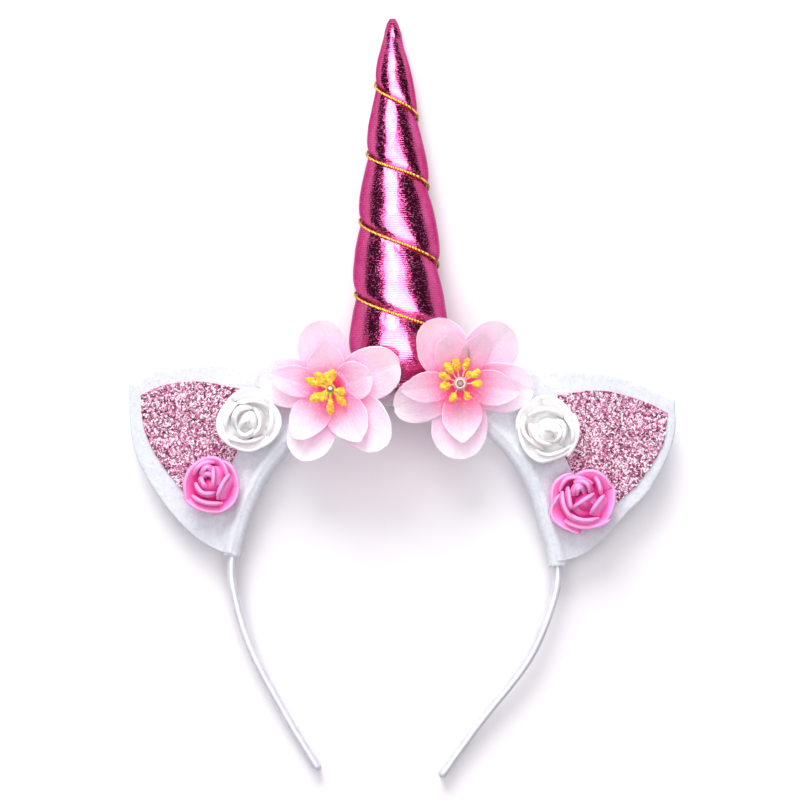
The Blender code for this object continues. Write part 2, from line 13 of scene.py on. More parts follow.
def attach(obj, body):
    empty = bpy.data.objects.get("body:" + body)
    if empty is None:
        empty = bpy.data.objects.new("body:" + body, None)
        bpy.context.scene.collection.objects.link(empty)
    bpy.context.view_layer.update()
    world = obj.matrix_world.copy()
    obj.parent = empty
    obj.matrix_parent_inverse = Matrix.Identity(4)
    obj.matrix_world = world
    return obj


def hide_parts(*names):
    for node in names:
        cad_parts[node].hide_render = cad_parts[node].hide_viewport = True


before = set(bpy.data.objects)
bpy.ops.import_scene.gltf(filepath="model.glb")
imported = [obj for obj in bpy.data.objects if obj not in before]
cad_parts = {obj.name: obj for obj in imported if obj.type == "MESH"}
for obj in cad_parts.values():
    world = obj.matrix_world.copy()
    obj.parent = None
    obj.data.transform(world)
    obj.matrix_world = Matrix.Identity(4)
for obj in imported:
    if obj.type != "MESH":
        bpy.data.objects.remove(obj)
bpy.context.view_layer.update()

# Sizes shared with the solids, in metres
BAND_HALF_WIDTH = 0.0647
BAND_LENGTH = 0.1519
BAND_THICK = 0.0036
BAND_DEEP = 0.0070
CROWN_HEIGHT = 0.0172
LEG_END_HEIGHT = 0.0035
FELT = 0.0015
EAR_PANEL = 0.0031
GAP = 0.0003
EAR_OUT = 0.0630
GLITTER_THICK = 0.0010
HORN_LONG = 0.1471
HORN_RADIUS = 0.0198
HORN_GAP = 0.0043
HORN_OFFSET = -0.0012
HORN_LEAN = -0.0030
FLOWER_RADIUS = 0.0300
FLOWER_LIFT = 0.0095
THROAT_RADIUS = 0.0070
THROAT_FOOT = 0.0027
ROSE_HEIGHT = 0.0120

# Band path from the crown: left out, left down, right out, right down
BAND_PATH = (
    (0.000, 0.000, 0.000, 0.000),
    (0.325, 0.017, 0.310, 0.018),
    (0.643, 0.089, 0.590, 0.098),
    (0.853, 0.188, 0.791, 0.214),
    (0.982, 0.303, 0.897, 0.348),
    (1.050, 0.416, 0.950, 0.442),
    (1.040, 0.511, 0.920, 0.540),
    (0.933, 0.664, 0.771, 0.690),
    (0.704, 0.849, 0.476, 0.854),
    (0.516, 0.981, 0.229, 1.000),
)
LAST_FOLD = len(BAND_PATH) - 1

# Felt and glitter outlines: fold of the band, distance out as a share, corner
EAR_LEFT = (
    (5.02, 0.00, 1), (4.97, 0.03, 1), (4.77, 0.22, 0), (4.32, 0.48, 0), (3.84, 0.71, 0),
    (3.28, 0.905, 0), (3.03, 1.00, 1), (2.69, 0.90, 0), (2.37, 0.73, 0), (1.87, 0.43, 0),
    (1.01, 0.05, 1),
)
EAR_RIGHT = (
    (5.02, 0.00, 1), (4.87, 0.02, 1), (4.81, 0.15, 0), (4.55, 0.32, 0), (3.93, 0.60, 0),
    (3.52, 0.775, 0), (3.21, 0.93, 0), (2.96, 1.025, 1), (2.64, 0.89, 0), (2.29, 0.735, 0),
    (1.85, 0.48, 0), (1.44, 0.29, 0), (1.00, 0.07, 1),
)
GLITTER_LEFT = (
    (3.07, 0.90, 1), (2.81, 0.81, 0), (2.52, 0.655, 0), (2.23, 0.43, 1), (2.52, 0.29, 0),
    (3.13, 0.195, 0), (3.87, 0.27, 1), (4.00, 0.40, 1), (3.65, 0.61, 0), (3.37, 0.77, 0),
)
GLITTER_RIGHT = (
    (2.18, 0.435, 1), (2.46, 0.66, 0), (2.79, 0.835, 0), (3.03, 0.945, 1), (3.28, 0.82, 0),
    (3.62, 0.60, 0), (3.83, 0.445, 1), (3.62, 0.27, 1), (3.26, 0.25, 0), (2.68, 0.275, 0),
)

# Horn: share along from the base, radius share, height of its middle as a radius share
HORN_ROWS = (
    (0.000, 0.690, 0.930), (0.032, 0.822, 0.960), (0.070, 0.941, 0.985), (0.110, 1.000, 1.000),
    (0.177, 0.976, 0.976), (0.285, 0.901, 0.901), (0.393, 0.846, 0.846), (0.502, 0.739, 0.739),
    (0.638, 0.599, 0.612), (0.775, 0.448, 0.472), (0.885, 0.319, 0.351), (0.941, 0.196, 0.233),
    (0.969, 0.150, 0.175), (0.986, 0.112, 0.119), (1.000, 0.055, 0.075),
)
# Where the cord crosses the horn's two side lines: turns of the cord, share along from the base
CORD_TURNS = (
    (-1.5, 1.066), (-1.0, 1.010), (-0.5, 0.914), (0.0, 0.817), (0.5, 0.728), (1.0, 0.628),
    (1.5, 0.539), (2.0, 0.445), (2.5, 0.326), (3.0, 0.248), (3.5, 0.129), (4.0, 0.048),
    (4.5, -0.052), (5.0, -0.150), (5.5, -0.248),
)
CORD_FIRST_TURN = -0.45
CORD_LAST_TURN = 4.05


# Node trees: shaders and repeated pieces

class Value:
    """A socket that can be written in sums, with each sum made as a node."""

    def __init__(self, tree, socket):
        self.tree = tree
        self.socket = socket

    def maths(self, operation, *others):
        return self.tree.node("ShaderNodeMath", {"operation": operation}, dict(enumerate((self, *others))))

    def vector(self, operation, other):
        return self.tree.node("ShaderNodeVectorMath", {"operation": operation}, {0: self, 1: other})

    def scaled(self, amount):
        return self.tree.node("ShaderNodeVectorMath", {"operation": "SCALE"}, {0: self, "Scale": amount})

    def __add__(self, other):
        return self.maths("ADD", other)

    def __sub__(self, other):
        return self.maths("SUBTRACT", other)

    def __rsub__(self, other):
        return (self * -1.0) + other

    def __mul__(self, other):
        return self.maths("MULTIPLY", other)

    def __truediv__(self, other):
        return self.maths("DIVIDE", other)

    def sine(self):
        return self.maths("SINE")

    def wave(self, spacing):
        """A wave from -1 to 1 that comes back after each spacing."""
        return (self * (2 * math.pi / spacing)).sine()

    def absolute(self):
        return self.maths("ABSOLUTE")

    def most(self, other):
        return self.maths("MAXIMUM", other)

    def between(self, low, high):
        """Zero below low, one above high, smooth from one to the other."""
        settings = {"interpolation_type": "SMOOTHSTEP"}
        values = {"Value": self, "From Min": low, "From Max": high}
        return self.tree.node("ShaderNodeMapRange", settings, values)


class Tree:
    """A node tree, with one way of adding a node to it."""

    def __init__(self, group):
        self.group = group

    def node(self, kind, settings=None, values=None, output=0):
        made = self.group.nodes.new(kind)
        for key, value in (settings or {}).items():
            if key == "stops":
                ramp = made.color_ramp
                while len(ramp.elements) < len(value):
                    ramp.elements.new(0.5)
                for element, (place, shade) in zip(ramp.elements, value):
                    element.position = place
                    element.color = (*shade, 1.0)
            else:
                setattr(made, key, value)
        for key, value in (values or {}).items():
            for link in value if isinstance(value, list) else [value]:
                if isinstance(link, Value):
                    self.group.links.new(link.socket, made.inputs[key])
                else:
                    made.inputs[key].default_value = link
        return Value(self, made.outputs[output])


class Recipe(Tree):
    """Geometry nodes that turn a guide mesh or curve into finished pieces of one material."""

    def __init__(self, name, sizes):
        super().__init__(bpy.data.node_groups.new(name, "GeometryNodeTree"))
        self.group.interface.new_socket("Geometry", in_out="INPUT", socket_type="NodeSocketGeometry")
        for size in sizes:
            self.group.interface.new_socket(size, in_out="INPUT", socket_type="NodeSocketFloat")
        self.group.interface.new_socket("Geometry", in_out="OUTPUT", socket_type="NodeSocketGeometry")
        self.start = self.group.nodes.new("NodeGroupInput")

    def given(self, name="Geometry"):
        return Value(self, self.start.outputs[name])

    def chance(self, low, high, seed):
        """A random number for each copy."""
        values = {2: low, 3: high, "Seed": seed}
        return self.node("FunctionNodeRandomValue", {"data_type": "FLOAT"}, values, 1)

    def strew(self, shape, size, tilt=0.0, seed=0):
        """Copies of a small shape over the guide's faces, leaning by up to the tilt, turned any way."""
        spread = self.group.nodes.new("GeometryNodeDistributePointsOnFaces")
        for key, source in (("Mesh", "Geometry"), ("Density", "Density"), ("Seed", "Seed")):
            self.group.links.new(self.given(source).socket, spread.inputs[key])
        values = {"Points": Value(self, spread.outputs["Points"]), "Instance": shape, "Scale": size}
        if tilt:
            turn = self.node("FunctionNodeRandomValue", {"data_type": "FLOAT_VECTOR"},
                             {0: (-tilt, -tilt, 0.0), 1: (tilt, tilt, 6.283), "Seed": seed})
            upright = Value(self, spread.outputs["Rotation"])
            values["Rotation"] = self.node("FunctionNodeRotateRotation", {"rotation_space": "LOCAL"},
                                           {"Rotation": upright, "Rotate By": turn})
        return self.node("GeometryNodeInstanceOnPoints", None, values)

    def tube(self, curve, radius, sides):
        """A round tube along a curve, closed at its ends."""
        ring = self.node("GeometryNodeCurvePrimitiveCircle", None, {"Resolution": sides, "Radius": radius})
        values = {"Curve": curve, "Profile Curve": ring, "Fill Caps": True}
        return self.node("GeometryNodeCurveToMesh", None, values)

    def make(self, name, guide, geometry, material, **sizes):
        """Run the nodes on the guide object, keep the result as a plain mesh, drop the guide."""
        real = self.node("GeometryNodeRealizeInstances", None, {0: geometry})
        done = self.node("GeometryNodeSetMaterial", None, {"Geometry": real, "Material": material})
        end = self.group.nodes.new("NodeGroupOutput")
        self.group.links.new(done.socket, end.inputs[0])
        changer = guide.modifiers.new(self.group.name, "NODES")
        changer.node_group = self.group
        for item in self.group.interface.items_tree:
            if item.in_out == "INPUT" and item.name in sizes:
                changer[item.identifier] = sizes[item.name]
        guide.update_tag()
        bpy.context.view_layer.update()
        seen = guide.evaluated_get(bpy.context.evaluated_depsgraph_get())
        mesh = bpy.data.meshes.new_from_object(seen)
        guide.modifiers.remove(changer)
        bpy.data.objects.remove(guide)
        mesh.name = name
        mesh.materials.clear()
        mesh.materials.append(material)
        piece = bpy.data.objects.new(name, mesh)
        bpy.context.scene.collection.objects.link(piece)
        return piece


class Paint(Tree):
    """One material, built node by node round its main shader."""

    def __init__(self, name, colour, **settings):
        self.material = bpy.data.materials.new(name)
        self.material.use_nodes = True
        self.material.diffuse_color = (*colour, 1.0)
        super().__init__(self.material.node_tree)
        self.shader = self.group.nodes["Principled BSDF"]
        self.shader.inputs["Base Color"].default_value = (*colour, 1.0)
        for key, value in settings.items():
            self.shader.inputs[key.replace("_", " ").title().replace("Ior", "IOR")].default_value = value

    def spot(self):
        """Place on the object, in metres."""
        return self.node("ShaderNodeTexCoord", output="Object")

    def along(self, axis):
        """One number of the piece's own map: 0 across, 1 along."""
        place = self.node("ShaderNodeUVMap", {"uv_map": "map"})
        return self.node("ShaderNodeSeparateXYZ", None, {0: place}, axis)

    def attribute(self, name):
        return self.node("ShaderNodeAttribute", {"attribute_name": name}, None, "Fac")

    def grain(self, scale, detail=2.0, rough=0.5, place=None, warp=0.0):
        values = {"Vector": place or self.spot(), "Scale": scale, "Detail": detail, "Roughness": rough}
        return self.node("ShaderNodeTexNoise", None, values | {"Distortion": warp})

    def cells(self, scale):
        return self.node("ShaderNodeTexVoronoi", {"feature": "F1"}, {"Vector": self.spot(), "Scale": scale})

    def ramp(self, stops, value):
        return self.node("ShaderNodeValToRGB", {"stops": stops}, {0: value})

    def facing(self):
        """Zero where the surface faces the eye, one at its rim."""
        return self.node("ShaderNodeLayerWeight", None, {"Blend": 0.5}, "Facing")

    def blend(self, share, first, second):
        """Mix of two colours, each a link or three numbers."""
        first, second = (shade if isinstance(shade, Value) else (*shade, 1.0) for shade in (first, second))
        return self.node("ShaderNodeMix", {"data_type": "RGBA"}, {0: share, 6: first, 7: second}, 2)

    def give(self, name, value):
        self.group.links.new(value.socket, self.shader.inputs[name])

    def relief(self, height, strength, distance, under=None):
        values = {"Height": height, "Strength": strength, "Distance": distance}
        if under:
            values["Normal"] = under
        return self.node("ShaderNodeBump", None, values)


# Camera, light and floor

EYE_HEIGHT = 1.403
OVERHEAD = 2.0
OVERHEAD_WIDE = 3.35


def shine(name, place, wide, power, diffuse=True):
    """A round soft light that faces the object."""
    lamp = bpy.data.lights.new(name, "AREA")
    lamp.shape = "DISK"
    lamp.size = wide
    lamp.energy = power
    light = bpy.data.objects.new(name, lamp)
    light.location = place
    light.rotation_euler = Vector(place).to_track_quat("Z", "Y").to_euler()
    light.visible_diffuse = diffuse
    light.visible_camera = False
    bpy.context.scene.collection.objects.link(light)


def set_stage():
    lens = bpy.data.cameras.new("overhead")
    lens.lens = 157.5
    lens.sensor_width = 36.0
    lens.clip_end = 50.0
    camera = bpy.data.objects.new("overhead", lens)
    camera.location = (-0.00101, -0.00034, EYE_HEIGHT)
    bpy.context.scene.collection.objects.link(camera)
    bpy.context.scene.camera = camera
    bpy.context.scene.view_settings.view_transform = "Standard"

    shine("overhead_soft", (-0.05, 0.02, OVERHEAD), 2.2, 28.0)
    shine("overhead_gleam", (-0.05, 0.02, OVERHEAD + 0.02), OVERHEAD_WIDE, 205.0, diffuse=False)
    shine("soft_key", (-0.35, 1.50, 1.15), 1.3, 40.0)

    world = bpy.data.worlds.new("pale_room")
    world.use_nodes = True
    bpy.context.scene.world = world
    room = Tree(world.node_tree)
    back = world.node_tree.nodes["Background"]
    path = world.node_tree.nodes.new("ShaderNodeLightPath")
    seen = Value(room, path.outputs["Is Camera Ray"])
    mirrored = Value(room, path.outputs["Is Glossy Ray"])
    strength = seen * 0.95 + (1.0 - seen) * (0.20 - mirrored * 0.15)
    back.inputs["Color"].default_value = (0.98, 0.74, 0.92, 1.0)
    world.node_tree.links.new(strength.socket, back.inputs["Strength"])

    work = bmesh.new()
    bmesh.ops.create_circle(work, cap_ends=True, segments=96, radius=6.0)
    bmesh.ops.inset_region(work, faces=work.faces[:], thickness=2.0, use_even_offset=True)
    mesh = bpy.data.meshes.new("table_top")
    work.to_mesh(mesh)
    work.free()
    floor = bpy.data.objects.new("table_top", mesh)
    bpy.context.scene.collection.objects.link(floor)
    paint = Paint("white_table", (0.87, 0.87, 0.89), roughness=0.9)
    cloud = paint.grain(3.0)
    paint.give("Base Color", paint.blend(cloud, (0.86, 0.86, 0.885), (0.88, 0.88, 0.895)))
    paint.give("Normal", paint.relief(paint.grain(900.0), 0.05, 0.0002))
    mesh.materials.append(paint.material)


set_stage()


# Shapes shared with the solids

# The crown's middle lies this far from the origin, which is under the whole object's middle
CROWN = Vector((0.000177, 0.000850, 0.000081))


def eased(start, end, leave, arrive, part):
    """Smooth run from start to end, with the changes it leaves and arrives by."""
    square = part * part
    cube = square * part
    return (
        start * (2 * cube - 3 * square + 1)
        + leave * (cube - 2 * square + part)
        + end * (3 * square - 2 * cube)
        + arrive * (cube - square)
    )


def blend(table, along, value=1, key=0):
    """Smooth value of a table column at a place in its key column, carried on past the ends."""
    low = 0
    rising = table[-1][key] > table[0][key]
    while low < len(table) - 2 and (table[low + 1][key] < along) == rising:
        low += 1
    before, start, end, after = (table[min(max(low + step, 0), len(table) - 1)] for step in (-1, 0, 1, 2))
    width = end[key] - start[key]
    part = (along - start[key]) / width
    slope = (end[value] - start[value]) / width
    if part < 0.0 or part > 1.0:
        return start[value] + (along - start[key]) * slope
    leave = (end[value] - before[value]) / (end[key] - before[key]) * width
    arrive = (after[value] - start[value]) / (after[key] - start[key]) * width
    return eased(start[value], end[value], leave, arrive, part)


def soft_step(low, high, value):
    part = min(max((value - low) / (high - low), 0.0), 1.0)
    return part * part * (3 - 2 * part)


def uneven(place, size, seed=0.0):
    """Smooth noise from -1 to 1 with bumps of about that size in metres."""
    return noise.noise(Vector(place) / size + Vector((seed, -seed, 2.3 * seed)))


def plane_height(up):
    """Height of the headband's own plane, which slopes down to the leg ends."""
    return CROWN_HEIGHT + up * (CROWN_HEIGHT - LEG_END_HEIGHT) / BAND_LENGTH


def band_point(fold):
    """A point of the band's middle line: fold is negative on the left, zero at the crown."""
    points = []
    for step in (-1, 0, 1, 2):
        row = min(max(math.floor(fold) + step, -LAST_FOLD), LAST_FOLD)
        out_left, down_left, out_right, down_right = BAND_PATH[abs(row)]
        across = -out_left if row < 0 else out_right
        down = down_left if row < 0 else down_right
        points.append(Vector((across * BAND_HALF_WIDTH, -down * BAND_LENGTH, 0.0)))
    part = fold - math.floor(fold)
    before, start, end, after = points
    curve = (
        2 * start
        + (end - before) * part
        + (2 * before - 5 * start + 4 * end - after) * part ** 2
        + (3 * start - before - 3 * end + after) * part ** 3
    )
    point = curve * 0.5
    point.z = plane_height(point.y)
    return point


def band_frame(fold):
    """Middle, outward direction and forward direction at a fold."""
    fold = min(max(fold, -LAST_FOLD), LAST_FOLD)
    here = band_point(fold)
    ahead, behind = band_point(min(fold + 0.05, LAST_FOLD)), band_point(max(fold - 0.05, -LAST_FOLD))
    along = (ahead - behind).normalized()
    return here, Vector((-along.y, along.x, 0.0)).normalized(), along


def off_band(fold, share):
    """A point of the headband's plane beside the band, seen from above."""
    here, out, _ = band_frame(fold)
    return (here + out * share * EAR_OUT).to_2d()


def spoke(angle):
    """Direction seen from above."""
    return Vector((math.cos(angle), math.sin(angle)))


def add_piece(name, points, faces, material):
    """A smooth mesh from points that start at the crown."""
    mesh = bpy.data.meshes.new(name)
    mesh.from_pydata([tuple(Vector(point) + CROWN) for point in points], [], faces)
    mesh.materials.append(material)
    mesh.shade_smooth()
    piece = bpy.data.objects.new(name, mesh)
    bpy.context.scene.collection.objects.link(piece)
    return piece


def skin(rows, around=False):
    """Points and faces over rows of equal length; around joins each row's ends."""
    wide = len(rows[0])
    points = [point for row in rows for point in row]
    faces = []
    for row in range(len(rows) - 1):
        for side in range(wide if around else wide - 1):
            after = (side + 1) % wide
            here = row * wide
            faces.append((here + side, here + after, here + wide + after, here + wide + side))
    return points, faces


def closed_skin(rows):
    """Points and faces over rings of equal length, closed at both ends."""
    points, faces = skin(rows, True)
    wide = len(rows[0])
    faces.append(tuple(range(wide)))
    faces.append(tuple(range(len(points) - 1, len(points) - wide - 1, -1)))
    return points, faces


def turned(profile, sides, spot, mark):
    """A closed shape of rings, with the point at each profile row and angle, and its map place."""
    angles = [2 * math.pi * side / sides for side in range(sides)]
    rows = [[spot(row, angle) for angle in angles] for row in profile]
    return *closed_skin(rows), [mark(row, side / sides) for row in profile for side in range(sides)]


def lay_map(piece, places):
    """Give each point its own place across and along, in metres, turns or shares."""
    layer = piece.data.uv_layers.new(name="map")
    for loop in piece.data.loops:
        layer.data[loop.index].uv = places[loop.vertex_index]


def tidy_skin(piece, merge=1e-6):
    """Merge doubled points and turn the faces out."""
    work = bmesh.new()
    work.from_mesh(piece.data)
    bmesh.ops.remove_doubles(work, verts=work.verts[:], dist=merge)
    bmesh.ops.recalc_face_normals(work, faces=work.faces[:])
    work.to_mesh(piece.data)
    work.free()


def join_shapes(name, shapes, material):
    """One piece from shapes of points, faces and map places."""
    points, faces, marks = [], [], []
    for more_points, more_faces, more_marks in shapes:
        faces += [tuple(place + len(points) for place in face) for face in more_faces]
        points += more_points
        marks += more_marks
    piece = add_piece(name, points, faces, material)
    lay_map(piece, marks)
    tidy_skin(piece)
    return piece


def fit(piece, node=None):
    """Put a piece on the object's one body, in place of a solid."""
    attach(piece, "root")
    if node:
        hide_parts(node)


# Horn and its cord

# Place from one turn of the cord to the next, how deep the cloth is drawn in there
ROLL_ROWS = (
    (0.00, 1.00), (0.03, 0.97), (0.08, 0.83), (0.16, 0.62), (0.28, 0.38), (0.42, 0.19),
    (0.56, 0.05), (0.66, 0.00), (0.78, 0.06), (0.86, 0.22), (0.90, 0.40), (0.935, 0.66), (0.97, 0.92),
    (1.00, 1.00),
)
ROLL_STEPS = (
    0.0, 0.02, 0.045, 0.07, 0.1, 0.135, 0.17, 0.21, 0.25, 0.3, 0.35, 0.4, 0.46, 0.52, 0.58, 0.64, 0.7,
    0.75, 0.8, 0.835, 0.865, 0.89, 0.912, 0.932, 0.95, 0.966, 0.983,
)
HORN_SIDES = 168
HORN_END = 0.006
GROOVE_LEAST = 0.0008
GROOVE_SHARE = 0.075
GATHER_DEEP = 0.00017
LUMP_DEEP = 0.00021
KNOB_FROM = 0.925
KNOB_FULL = 0.95
RIB_SPACING = 0.00088
CORD_SEAT = 0.00082
CORD_STEP = 0.00024
STRANDS = 3
STRAND_RADIUS = 0.00027
STRAND_OFFSET = 0.00028
TWIST_LENGTH = 0.0019


def horn_middle(share):
    across = HORN_OFFSET + HORN_LEAN * share
    height = HORN_RADIUS * blend(HORN_ROWS, share, 2)
    return Vector((across, HORN_GAP + share * HORN_LONG, height))


def horn_radius(share, groove):
    full = HORN_RADIUS * blend(HORN_ROWS, share)
    return full - groove * (GROOVE_LEAST + GROOVE_SHARE * full)


def horn_point(share, groove, turn, lift=0.0):
    """A point round the horn; turns count from the -X side over the top."""
    angle = math.pi - 2 * math.pi * turn
    radius = horn_radius(share, groove) + lift
    return horn_middle(share) + Vector((math.cos(angle), 0.0, math.sin(angle))) * radius


def gathers(point, share, place, size):
    """Small folds that run into the cord, and slow unevenness of the stuffing."""
    near = min(place / 0.16, (1.0 - place) / 0.13)
    fade = math.exp(-near * near * 1.1)
    folds = uneven((point.x, point.y * 0.32, point.z), 0.0017, 3.0)
    folds += 0.6 * uneven((point.x, point.y * 0.4, point.z), 0.0009, 8.0)
    lumps = uneven(point, 0.011, 1.0) + 0.5 * uneven(point, 0.0052, 5.0)
    knob = soft_step(KNOB_FROM, KNOB_FULL, share)
    full = soft_step(0.0, 0.45, blend(HORN_ROWS, share)) + 1.1 * knob
    fade = max(fade, knob)
    return full * (GATHER_DEEP * folds * fade + LUMP_DEEP * lumps * (1.0 - fade)) * size


def make_lame():
    """Pink metallic knit: smooth foil with fine ribs round the horn, broken by duller flecks, and darkened
    as painted shade in the grooves where the cord draws it in.
    """
    paint = Paint("lame_pink", (0.62, 0.09, 0.28), metallic=1.0, roughness=0.18,
                  specular_tint=(0.60, 0.38, 0.50, 1.0))
    along = paint.along(1)
    sway = paint.grain(300.0, 2.0) * 0.0007
    ribs = (along + sway).wave(RIB_SPACING) * 0.5 + 0.5
    spot = paint.node("ShaderNodeMapping", None, {"Vector": paint.spot(), "Scale": (0.55, 1.0, 0.8)})
    flecks = paint.grain(1650.0, 2.0, 0.6, spot)
    cloud = paint.grain(85.0, 3.0, 0.6)
    dull = (flecks + (cloud - 0.5) * 0.12).between(0.53, 0.62)
    gaps = ribs.between(0.70, 1.0) * (1.0 - dull)
    foil = paint.blend(cloud.between(0.35, 0.7), (0.47, 0.05, 0.17), (0.56, 0.085, 0.24))
    # Painted shade: the foil turns dark plum in the grooves beside the cord; the same mask also makes it
    # rougher there and takes off its coat
    tucked = paint.attribute("tucked").between(0.35, 1.0)
    shaded = paint.blend(tucked * 0.85, foil, (0.13, 0.008, 0.045))
    lined = paint.blend(gaps * 0.75, shaded, (0.34, 0.022, 0.11))
    paint.give("Base Color", paint.blend(dull, lined, (0.62, 0.10, 0.29)))
    paint.give("Roughness", tucked * 0.20 + dull * 0.22 + gaps * 0.10 + 0.13)
    level = (1.0 - paint.facing() * 1.7).between(0.0, 1.0)
    paint.give("Coat Weight", level * (1.0 - dull * 0.6) * (1.0 - (gaps * 0.5).most(tucked)))
    weave = paint.relief(ribs, 0.25, 0.00010)
    paint.give("Normal", paint.relief(flecks, 0.40, 0.00025, weave))
    return paint.material


def make_horn():
    """Rolls of cloth from one turn of the cord to the next, with a closed tip and base."""
    turns = [side / HORN_SIDES for side in range(HORN_SIDES + 1)]

    def end_ring(share, wide, bulge):
        """A ring that closes an end, drawn in towards the horn's middle line."""
        middle = horn_middle(share) + Vector((0.0, bulge, 0.0))
        return [(middle.lerp(horn_point(share, 0.0, turn), wide), (turn, share * HORN_LONG), 0.0)
                for turn in turns]

    first = math.floor(CORD_TURNS[0][0])
    last = math.floor(CORD_TURNS[-1][0])
    rows = []
    for whole in range(first, last):
        for place in ROLL_STEPS:
            row = []
            for turn in turns:
                here = whole + turn
                share = (1 - place) * blend(CORD_TURNS, here) + place * blend(CORD_TURNS, here + 1)
                groove = blend(ROLL_ROWS, place) * soft_step(-0.75, -0.35, here + round(place))
                if share < HORN_END or share > 1 - HORN_END:
                    share = 0.0 if share < HORN_END else 1.0
                    groove = 0.0
                fade = soft_step(0.0, 0.03, share) * soft_step(1.0, 0.97, share)
                point = horn_point(share, groove, here)
                swell = gathers(point, share, place, fade)
                # Mask of the painted shade in the groove: full on one side of each groove, faint on the
                # other
                tucked = groove if place > 0.5 else 0.7 * groove ** 4
                point = horn_point(share, groove, here, swell)
                row.append((point, (turn, share * HORN_LONG), tucked))
            rows.append(row)
    rows += [end_ring(0.0, wide, 0.0006 * (1 - wide)) for wide in (0.7, 0.35, 0.02)]
    rows.insert(0, end_ring(1.0, 0.1, 0.0))
    points, faces = skin([[spot[0] for spot in row] for row in rows])
    piece = add_piece("horn_cloth", points, faces, make_lame())
    lay_map(piece, [spot[1] for row in rows for spot in row])
    # The painted shade mask, kept on the points for the foil's paint
    groove_shades = piece.data.attributes.new("tucked", "FLOAT", "POINT")
    groove_shades.data.foreach_set("value", [spot[2] for row in rows for spot in row])
    tidy_skin(piece, 1.2e-5)
    fit(piece, "horn")


def make_gold():
    """Metal thread: bright wraps with brown gaps that lean round the cord, and painted shade towards its
    rims.
    """
    paint = Paint("gold_thread", (0.95, 0.62, 0.06), metallic=0.35, roughness=0.4)
    sides = paint.node("ShaderNodeSeparateXYZ", None, {"Vector": paint.spot()}, "X")
    heights = paint.node("ShaderNodeSeparateXYZ", None, {"Vector": paint.spot()}, "Z")
    grain = paint.grain(1400.0, 2.0, 0.6)
    wraps = (sides + heights * 0.6 + grain * 0.0005).wave(RIB_SPACING) * 0.5 + 0.5
    bright = paint.blend(grain.between(0.35, 0.65), (0.90, 0.48, 0.015), (1.0, 0.72, 0.06))
    # Dark in the gaps between the wraps, and darkened towards the cord's rims as seen from the eye: painted
    # shade
    dark = wraps.between(0.45, 0.8).most(paint.facing().between(0.30, 0.75))
    paint.give("Base Color", paint.blend(dark, bright, (0.20, 0.06, 0.004)))
    paint.give("Roughness", grain * 0.3 + 0.25)
    paint.give("Normal", paint.relief(wraps, 0.4, 0.00015))
    return paint.material


def make_cord():
    """Three gold strands twisted round each other along the groove."""
    steps = 40
    first = round((CORD_FIRST_TURN + 0.07) * steps)
    last = round(CORD_LAST_TURN * steps)
    path = []
    for step in range(first, last + 1):
        turn = step / steps
        path.append(horn_point(blend(CORD_TURNS, turn), 1.0, turn, CORD_SEAT) + CROWN)
    guide_curve = bpy.data.curves.new("cord_path", "CURVE")
    guide_curve.dimensions = "3D"
    line = guide_curve.splines.new("POLY")
    line.points.add(len(path) - 1)
    for spot, place in zip(line.points, path):
        spot.co = (*place, 1.0)
    guide = bpy.data.objects.new("cord_path", guide_curve)
    bpy.context.scene.collection.objects.link(guide)

    recipe = Recipe("twisted_cord", ("Strand", "Twist", "Offset"))
    even = recipe.node("GeometryNodeResampleCurve", {"mode": "LENGTH"},
                       {"Curve": recipe.given(), "Length": CORD_STEP})
    run = recipe.node("GeometryNodeSplineParameter", output="Length")
    upright = recipe.node("GeometryNodeInputNormal")
    tangent = recipe.node("GeometryNodeInputTangent")
    beside = tangent.vector("CROSS_PRODUCT", upright)
    strands = []
    for number in range(STRANDS):
        angle = run / recipe.given("Twist") * (2 * math.pi) + number * 2 * math.pi / STRANDS
        aside = upright.scaled(angle.maths("COSINE")).vector("ADD", beside.scaled(angle.sine()))
        moved = recipe.node("GeometryNodeSetPosition", None,
                            {"Geometry": even, "Offset": aside.scaled(recipe.given("Offset"))})
        strands.append(recipe.tube(moved, recipe.given("Strand"), 7))
    both = recipe.node("GeometryNodeJoinGeometry", None, {0: strands})
    smooth = recipe.node("GeometryNodeSetShadeSmooth", None, {0: both})
    piece = recipe.make("gold_cord", guide, smooth, make_gold(),
                        Strand=STRAND_RADIUS, Twist=TWIST_LENGTH, Offset=STRAND_OFFSET)
    fit(piece, "horn_cord")


make_horn()
make_cord()


# Satin band

BAND_STATIONS = 300
BAND_AROUND = 28
END_ROUND = 0.0022
RIBBON_LAP = 0.00013
RIBBON_WIDE = 0.017
WARP_SPACING = 0.00042
WEFT_SPACING = 0.00030


def make_satin():
    paint = Paint("satin_white", (0.86, 0.87, 0.90), roughness=0.34, sheen_weight=0.35, sheen_roughness=0.3)
    across = paint.along(0)
    along = paint.along(1)
    warp = along.wave(WARP_SPACING)
    weft = across.wave(WEFT_SPACING)
    cloud = paint.grain(120.0, 3.0, 0.6)
    paint.give("Base Color", paint.blend(cloud.between(0.3, 0.75), (0.57, 0.59, 0.66), (0.69, 0.70, 0.76)))
    paint.give("Roughness", paint.grain(800.0, 2.0) * 0.25 + 0.22)
    weave = paint.relief(warp * 0.6 + weft * 0.4, 0.10, 0.00006)
    paint.give("Normal", paint.relief(paint.grain(300.0, 3.0, 0.6), 0.16, 0.0004, weave))
    return paint.material


